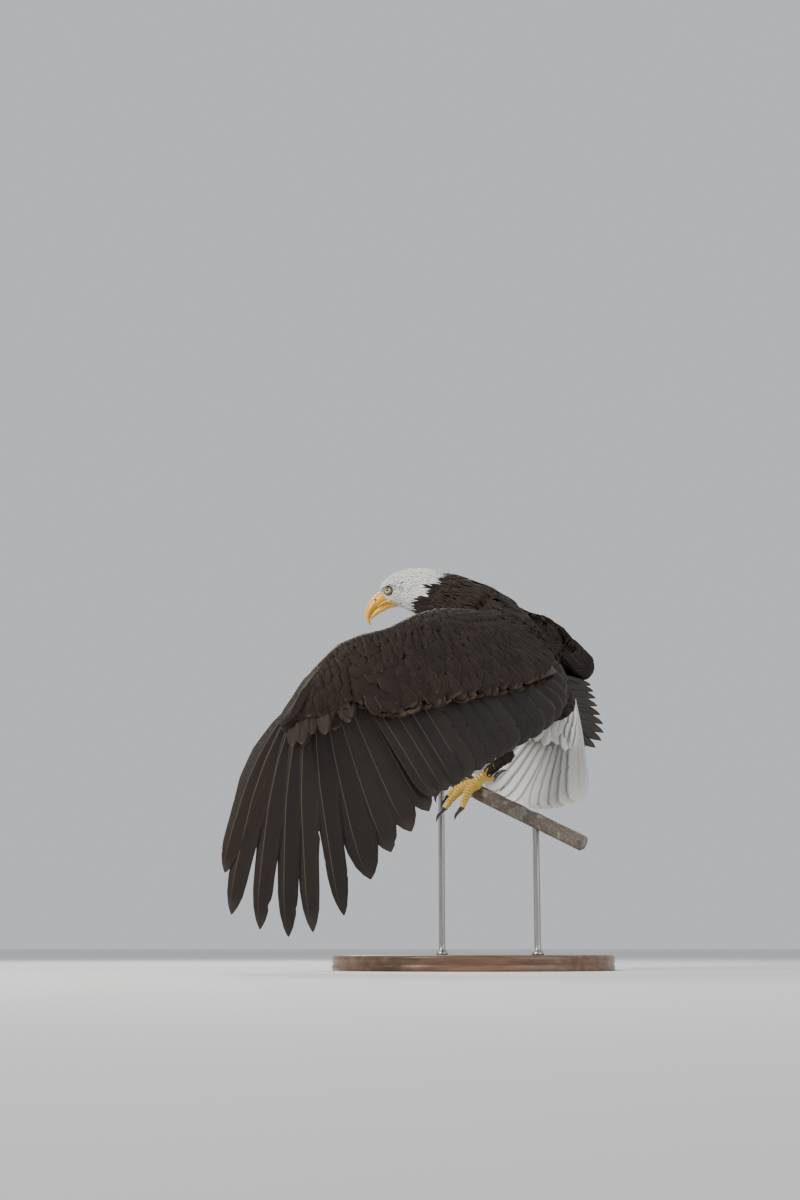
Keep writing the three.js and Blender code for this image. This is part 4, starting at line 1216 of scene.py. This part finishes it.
s = Shade("bill_horn")
nostrilDentAndShade, cere, out = s.parts(s.field("mark"))
spot = s.place()
streak = s.noise(s.stretched(spot, 60.0, 200.0, 60.0), 3.0, 4.0, 0.6)
horn = s.mix(streak, (0.74, 0.36, 0.022), (0.86, 0.50, 0.06))
horn = s.mix(s.between(out, 0.8, 1.0), horn, (0.60, 0.36, 0.09))
horn = s.mix(cere, horn, (0.86, 0.47, 0.03))
# painted shade: the nostril is painted near black to stand in for the shadow inside the opening, which is only a
# shallow dent
horn = s.mix(s.between(nostrilDentAndShade, 0.25, 0.7), horn, (0.03, 0.02, 0.012))
gloss = {"Coat Weight": 0.2, "Coat Roughness": 0.2, "Subsurface Weight": 0.08, "Subsurface Scale": 0.003}
billFinish = s.finish(horn, 0.32, s.noise(spot, 700.0, 3.0), 0.15, 0.0004, **gloss)
for name, keel, count, sides in (("upper", 1.0, 110, 56), ("lower", -1.0, 60, 32)):
    piece = billPiece(f"bill_{name}_horn", billSetup[name], billSetup[f"{name}Half"], keel, count, sides)
    wear(piece, billFinish, "bill_horn", f"bill_{name}")


def roundRings(path, radius, sides=12, count=30, flat=1.0, up=(0, 0, 1)):
    # rings round a line, flattened along the second direction
    u = np.linspace(0, 1, count)
    line = through(path, u)
    along = unit(np.gradient(line, axis=0))
    side = unit(np.cross(along, np.broadcast_to(unit(up), line.shape)))
    over = np.cross(side, along)
    angle = np.linspace(0, 2 * math.pi, sides, endpoint=False)
    r = through(np.asarray(radius, float), u)[:, None, None]
    rings = line[:, None] + side[:, None] * np.cos(angle)[None, :, None] * r
    return rings + over[:, None] * np.sin(angle)[None, :, None] * r * flat


gapeLine = [(-147, 13.5, 684.5), (-156, 13.8, 685), (-166, 12.6, 682.5), (-178, 9.6, 674.5)]
for side, name in ((-1, "left"), (1, "right")):
    # the soft yellow corner of the mouth
    path = mm(*[(x, -28 + side * y, z) for x, y, z in gapeLine])
    rings = roundRings(path, np.array([0.6, 2.0, 1.8, 0.5]) / 1000)
    info = np.zeros((rings.shape[0] * rings.shape[1], 3))
    info[:, 1] = 1
    wear(tubePiece(f"gape_{name}", rings, {"mark": info}), billFinish, "bill_horn", "bill_upper")


eyeSetup = {
    # the ball's radius; how far off the gaze the pupil and the iris end, in radians; half the opening of the
    # lids, how far out they reach, how far before the ball's middle they stand, and half their thickness
    "radius": 0.0086,
    "pupil": 0.33,
    "iris": 0.80,
    "lidOpening": 0.0058,
    "lidReach": 0.0100,
    "lidLift": 0.0062,
    "lidThick": 0.0009,
}
s = Shade("eye")
off, turn, _ = s.parts(s.field("mark"))
spokes = s.noise(s.vector(s.times(turn, 14.0), s.times(off, 4.0), 0.3), 2.0, 4.0, 0.65)
iris = s.mix(spokes, (0.62, 0.44, 0.10), (0.90, 0.80, 0.42))
iris = s.mix(s.between(off, eyeSetup["iris"] - 0.1, eyeSetup["iris"]), iris, (0.05, 0.03, 0.015))
ball = s.mix(s.between(off, eyeSetup["pupil"] - 0.02, eyeSetup["pupil"] + 0.02), (0.004, 0.003, 0.003), iris)
eyeFinish = s.finish(ball, 0.08, None, **{"Coat Weight": 1.0, "Coat Roughness": 0.02, "Specular IOR Level": 0.6})
s = Shade("lid")
spot = s.place()
skin = s.ramp(s.noise(spot, 800.0, 3.0), [(0.3, (0.06, 0.054, 0.042)), (0.7, (0.24, 0.195, 0.10))])
lidFinish = s.finish(skin, 0.5, s.noise(spot, 1500.0), 0.4, 0.0003)
for side, name in ((-1, "left"), (1, "right")):
    middle = mm(-156.5, -28 + side * 14.6, 705)
    gaze = unit([-0.34, side * 0.94, 0.02])
    flat = unit(np.cross([0, 0, 1], gaze))
    over = np.cross(gaze, flat)
    polar = np.linspace(0.015, math.pi - 0.02, 48)
    angle = np.linspace(0, 2 * math.pi, 64, endpoint=False)
    bulge = 1 + 0.07 * np.exp(-((polar / 0.55) ** 2))
    r = eyeSetup["radius"] * bulge
    spread = flat * np.cos(angle)[:, None] + over * np.sin(angle)[:, None]
    rings = middle + gaze * (np.cos(polar) * r)[:, None, None] + spread * (np.sin(polar) * r)[:, None, None]
    info = np.stack(np.broadcast_arrays(polar[:, None], angle[None], 0.0), -1)
    wear(tubePiece(f"eyeball_{name}", rings, {"mark": info.reshape(-1, 3)}), eyeFinish, "eye", f"eye_{name}")
    # the lids make a rim round the eye, straighter above, under the brow
    a = angle
    upper, lower = np.clip(np.sin(a - 0.25), 0, 1) ** 1.3, np.clip(-np.sin(a), 0, 1) ** 2
    opening = eyeSetup["lidOpening"] * (1 - 0.5 * upper - 0.1 * lower)
    centre = middle + gaze * eyeSetup["lidLift"]
    rimLine = centre + (flat * np.cos(a)[:, None] * 1.08 + over * np.sin(a)[:, None]) * opening[:, None]
    outward = unit(rimLine - centre)
    b = np.linspace(0, 2 * math.pi, 12, endpoint=False)
    # the lid's section lies back against the face
    wide, deep = unit(outward * 0.8 - gaze * 0.6), unit(outward * 0.6 + gaze * 0.8)
    # it spans from the opening out to the first feathers
    half = (eyeSetup["lidReach"] - 0.0008 * np.sin(a) - opening) / 2
    rim = (rimLine + wide * (half - 0.0005)[:, None])[:, None]
    rim = rim + (wide * half[:, None])[:, None] * np.cos(b)[None, :, None]
    rim = rim + deep[:, None] * np.sin(b)[None, :, None] * eyeSetup["lidThick"]
    verts = rim.reshape(-1, 3)
    i = np.arange(64)[:, None] * 12
    j = np.arange(12)
    nextRing = (np.arange(64)[:, None] + 1) % 64 * 12
    quads = np.stack([i + j, nextRing + j, nextRing + (j + 1) % 12, i + (j + 1) % 12], -1).reshape(-1, 4)
    lid = meshPiece(f"lid_{name}", verts, quads.ravel(), np.arange(len(quads)) * 4)
    wear(lid, lidFinish, "eye", f"eye_{name}")


# the feet grip the branch
perchPoint, perchAxis = mm(2, -14, 330), unit([0.6, -0.7, -0.37])
perchUp = unit(np.array([0, 0, 1]) - perchAxis * perchAxis[2])
perchAhead = unit(np.cross(perchAxis, perchUp))
branchSetup = {
    "radius": 0.014,
    "left": -0.135,
    "right": 0.300,
    # knots: place along it, turn round it, height in millimetres
    "knots": [(0.1, 3.6, 2.2), (0.62, 4.4, 2.6), (0.86, 1.2, 2.0)],
}
feetSetup = {
    # foot: place along the branch; roll: turn round it; toes: spread, reach and length of the claw, the back
    # toe last; line and hook: how toe and claw bend, in shares of the reach and of the claw's length
    "left": {
        "foot": 18,
        "roll": 50,
        "toes": [[-30, 42, 28], [-13, 68, 31], [20, 52, 27], [6, 34, 36]],
        "line": [[0, 0.1], [0.4, 0.15], [0.78, 0.1], [1, 0.02]],
        "hook": [[-0.04, 0], [0.34, 0.04], [0.74, -0.04], [0.98, -0.26]],
        "ankle": mm(62, -62, 388),
    },
    "right": {
        "foot": -48,
        "roll": 14,
        "toes": [[14, 48, 28], [0, 60, 31], [-18, 50, 26], [-5, 34, 36]],
        "line": [[0, 0.1], [0.4, 0.12], [0.78, -0.12], [1, -0.44]],
        "hook": [[-0.04, 0], [0.36, -0.24], [0.52, -0.6], [0.4, -0.96]],
        "ankle": mm(6, 36, 410),
    },
}
backLine = [[0, 0.1], [0.4, 0.08], [0.78, -0.2], [1, -0.56]]
s = Shade("foot_scute")
spot = s.place()
skin = s.ramp(s.noise(spot, 500.0, 4.0), [(0.3, (0.60, 0.36, 0.06)), (0.7, (0.84, 0.57, 0.12))])
scuteFinish = s.finish(skin, 0.45, s.noise(spot, 1600.0, 3.0), 0.3, 0.0003)
s = Shade("talon_horn")
spot = s.place()
horn = s.ramp(s.noise(spot, 240.0, 4.0), [(0.3, (0.012, 0.011, 0.011)), (0.8, (0.05, 0.045, 0.042))])
gloss = {"Coat Weight": 0.3, "Coat Roughness": 0.15}
talonFinish = s.finish(horn, 0.24, s.noise(spot, 900.0, 3.0), 0.12, 0.0003, **gloss)


def scutes(path, radius, up, count, spanAngle, width, thick=0.0007):
    # short curved plates across the top of a toe
    u = (np.arange(count) + 0.5) / count
    at, along = through(path, u), unit(np.gradient(through(path, np.linspace(0, 1, 50)), axis=0))
    along = np.stack([np.interp(u, np.linspace(0, 1, 50), along[:, c]) for c in range(3)], -1)
    r = through(np.asarray(radius, float), u)
    along = unit(along)
    over = unit(up - along * (along @ up)[:, None])
    side = np.cross(along, over)
    a = np.linspace(-spanAngle, spanAngle, 9)
    turn = over[:, None] * np.cos(a)[None, :, None] + side[:, None] * np.sin(a)[None, :, None]
    spine = at[:, None] + turn * (r[:, None, None] + 0.0001)
    out = unit(spine - at[:, None])
    f = width * np.interp(np.abs(a), [0, spanAngle * 0.8, spanAngle], [1, 0.9, 0.4])[None] * np.ones((count, 1))
    ahead = np.broadcast_to(along[:, None], spine.shape)
    return vaneBatch(spine, ahead, out, f, f, np.full((count, 9), thick), f * 0.12, 5, 0)


for side in ("left", "right"):
    leg = feetSetup[side]
    roll = math.radians(leg["roll"])
    out = perchUp * math.cos(roll) + perchAhead * math.sin(roll)
    fore = perchAhead * math.cos(roll) - perchUp * math.sin(roll)
    foot = perchPoint + perchAxis * leg["foot"] / 1000
    knuckle = foot + out * (branchSetup["radius"] + 0.0082)
    plates = []
    for index, (spread, reach, length) in enumerate(leg["toes"]):
        back = index == 3
        way = -fore if back else fore
        line = backLine if back else leg["line"]

        def toeAt(f, h):
            bend = way * f * reach / 1000 + out * h * reach / 1000
            return knuckle + bend + perchAxis * spread / 1000 * (0.25 + 0.75 * min(f, 1))

        toePath = np.array([toeAt(f, h) for f, h in line])
        top = np.cross(perchAxis, toePath[-1] - toePath[0])
        top = unit(top * np.sign((top * out).sum()))
        plates.append(scutes(toePath, np.linspace(8.2, 5.7, 4) / 1000, top, int(reach / 4.4), 1.2, 0.0020))
        lastF, lastH = line[-1]
        bend = length / reach
        hook = np.array([toeAt(lastF + f * bend, lastH + h * bend) for f, h in leg["hook"]])
        radius = np.array([5.0, 4.2, 2.7, 0.35]) / 1000
        claw = roundRings(hook, radius, 18, 34, 0.86, perchAxis)
        wear(tubePiece(f"claw_{side}_{index + 1}", claw), talonFinish, "talon_horn", f"talon_{side}_{index + 1}")
    low = foot + out * (branchSetup["radius"] + 0.010)
    shankPath = np.array([low + (leg["ankle"] - low) * k for k in (0.1, 0.2, 0.3, 0.42)])
    shankRadius = np.array([9.6, 9.0, 8.6, 8.5]) / 1000
    plates.append(scutes(shankPath, shankRadius, unit([-1, -0.3, 0.1]), 4, 1.1, 0.0032, 0.0008))
    featherPiece(f"scutes_{side}", plates, scuteFinish, "foot_skin", f"leg_{side}_foot", f"leg_{side}_shank")
print("head, feet and talons set")


# the branch
u = np.linspace(0, 1, 170)
run = branchSetup["left"] + (branchSetup["right"] - branchSetup["left"]) * u
angle = np.linspace(0, 2 * math.pi, 48, endpoint=False)
over, side = perchUp, perchAhead
wave = np.zeros((len(u), len(angle)))
for count, turns, slopes, height in ((8, (1, 4), (3, 22), 0.0007), (22, (6, 19), (-26, 26), 0.00045)):
    # low swellings, then long ridges that wander along the bark
    for _ in range(count):
        f, g, h = dice.integers(*turns), dice.uniform(*slopes), dice.uniform(0, 6.28)
        wave += np.sin(f * angle[None] + g * u[:, None] + h + 1.5 * np.sin(u[:, None] * 17 + h)) * height
knots = np.zeros_like(wave)
for at, turn, size in branchSetup["knots"]:
    gap = np.angle(np.exp(1j * (angle[None] - turn)))
    knots += size / 1000 * np.exp(-(((u[:, None] - at) / 0.018) ** 2) - (gap / 0.55) ** 2)
bark = branchSetup["radius"] - 0.0008 + np.clip(wave, -0.0018, 0.0014) * 0.6 + knots
ends = np.minimum(1, np.minimum(u / 0.012 + 0.72, (1 - u) / 0.012 + 0.72))[:, None]
r = (bark * ends)[..., None]
line = perchPoint + perchAxis * run[:, None]
rings = line[:, None] + (over * np.cos(angle)[:, None] + side * np.sin(angle)[:, None]) * r
info = np.stack(np.broadcast_arrays(run[:, None], angle[None] / 6.2832, wave * 400), -1)
s = Shade("bark")
onward, around, _ = s.parts(s.field("mark"))
around = s.times(around, 6.2832)
grain = s.noise(s.vector(s.times(onward, 60.0), s.math("SINE", around), s.math("COSINE", around)), 5.0, 6.0, 0.65)
patch = s.noise(s.place(), 60.0, 4.0)
wood = s.ramp(grain, [(0.25, (0.035, 0.027, 0.021)), (0.5, (0.13, 0.10, 0.08)), (0.75, (0.30, 0.26, 0.22))])
wood = s.mix(s.between(patch, 0.5, 0.7), wood, (0.24, 0.25, 0.20))
barkFinish = s.finish(wood, 0.85, grain, 0.8, 0.0016)
wear(tubePiece("branch_bark", rings, {"mark": info.reshape(-1, 3)}), barkFinish, "bark", "perch_branch")

standSetup = {
    "length": 0.52,
    "depth": 0.40,
    "rod": 0.006,
    # the board's section from under it to its top: share of the half breadth, height in metres
    "foot": [(0.03, 0), (0.994, 0), (0.9985, 0.0008), (1, 0.003), (1, 0.009)],
    "groove": [(0.994, 0.0105), (0.994, 0.0125), (1, 0.014)],
    "top": [(0.9, 0.028), (0.03, 0.028)],
    # the rod's collar on the board: how far it stands out, height
    "collar": [(0, 0.0275), (0.005, 0.0281), (0.005, 0.031), (0.003, 0.034), (0.0012, 0.0365), (0, 0.038)],
}
corner = [(1 - (1 - math.cos(a)) * 0.022, 0.021 + 0.007 * math.sin(a)) for a in np.linspace(0, math.pi / 2, 8)]
profile = standSetup["foot"] + standSetup["groove"] + corner + standSetup["top"]
angle = np.linspace(0, 2 * math.pi, 160, endpoint=False)
halfX, halfY = standSetup["length"] / 2, standSetup["depth"] / 2
rings = np.array([[(k * halfX * math.cos(a), k * halfY * math.sin(a), z) for a in angle] for k, z in profile])
low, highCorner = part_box("stand_base")
rings += np.array([(low.x + highCorner.x) / 2, (low.y + highCorner.y) / 2, low.z])
s = Shade("base_wood")
spot = s.place()
grain = s.noise(s.stretched(spot, 2.2, 26.0, 26.0), 3.0, 6.0, 0.6)
pores = s.noise(s.stretched(spot, 14.0, 400.0, 400.0), 2.0, 3.0)
wood = s.ramp(grain, [(0.3, (0.085, 0.040, 0.020)), (0.5, (0.16, 0.080, 0.040)), (0.72, (0.26, 0.14, 0.075))])
wood = s.mix(s.times(s.between(pores, 0.55, 0.75), 0.5), wood, (0.05, 0.025, 0.012))
baseFinish = s.finish(wood, 0.35, pores, 0.1, 0.0003, **{"Coat Weight": 0.25, "Coat Roughness": 0.18})
wear(tubePiece("base_plinth", rings), baseFinish, "base_wood", "stand_base")
s = Shade("rod_steel")
brushed = s.noise(s.stretched(s.place(), 900.0, 900.0, 12.0), 1.0, 3.0)
steel = s.ramp(brushed, [(0.3, (0.30, 0.29, 0.28)), (0.7, (0.46, 0.45, 0.43))])
rodFinish = s.finish(steel, 0.32, brushed, 0.08, 0.0002, Metallic=1.0)
rod = standSetup["rod"]
for name in ("left", "right"):
    low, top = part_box(f"stand_rod_{name}")
    x, y = (low.x + top.x) / 2, (low.y + top.y) / 2
    profile = [(0.0005, low.z), (rod, low.z)] + [(rod + more, z) for more, z in standSetup["collar"]]
    profile += [(rod, z) for z in np.linspace(0.05, top.z - 0.004, 8)]
    profile += [(rod * 0.96, top.z + 0.004), (0.0005, top.z + 0.006)]
    angle = np.linspace(0, 2 * math.pi, 40, endpoint=False)
    rings = np.array([[(x + r * math.cos(a), y + r * math.sin(a), z) for a in angle] for r, z in profile])
    wear(tubePiece(f"rod_{name}", rings), rodFinish, "rod_steel", f"stand_rod_{name}")
print("perch and stand set")


# what is round the model: paper floor, grey air, three lamps
studioSetup = {
    "air": (0.80, 0.82, 0.85, 1),
    "airPower": 0.75,
    # place, size, power, colour
    "lamps": {
        "key": ((-1.9, -1.5, 2.2), 1.2, 75, (1, 0.97, 0.92)),
        "fill": ((2.2, -2.0, 1.2), 1.8, 22, (0.93, 0.96, 1)),
        "rim": ((-0.8, 1.9, 2.0), 1.2, 45, (1, 1, 1)),
    },
    "aim": (0, 0, 0.5),
}
floor = meshPiece("floor", [(-60, -60, 0), (60, -60, 0), (60, 60, 0), (-60, 60, 0)], [0, 1, 2, 3], [0])
s = Shade("floor_paper")
paper = s.mix(s.noise(s.place(), 3.0), (0.70, 0.70, 0.69), (0.74, 0.74, 0.73))
floor.data.materials.append(s.finish(paper, 0.9))
world = bpy.data.worlds.new("studio")
bpy.context.scene.world = world
world.use_nodes = True
air = world.node_tree.nodes["Background"]
air.inputs[0].default_value = studioSetup["air"]
air.inputs[1].default_value = studioSetup["airPower"]
for name, (at, size, power, colour) in studioSetup["lamps"].items():
    data = bpy.data.lights.new(name, "AREA")
    data.size = size
    data.energy = power
    data.color = colour
    light = bpy.data.objects.new(name, data)
    light.location = at
    light.rotation_euler = (Vector(studioSetup["aim"]) - Vector(at)).to_track_quat("-Z", "Y").to_euler()
    bpy.context.scene.collection.objects.link(light)
bpy.context.scene.view_settings.view_transform = "AgX"
print("floor and lamps set")
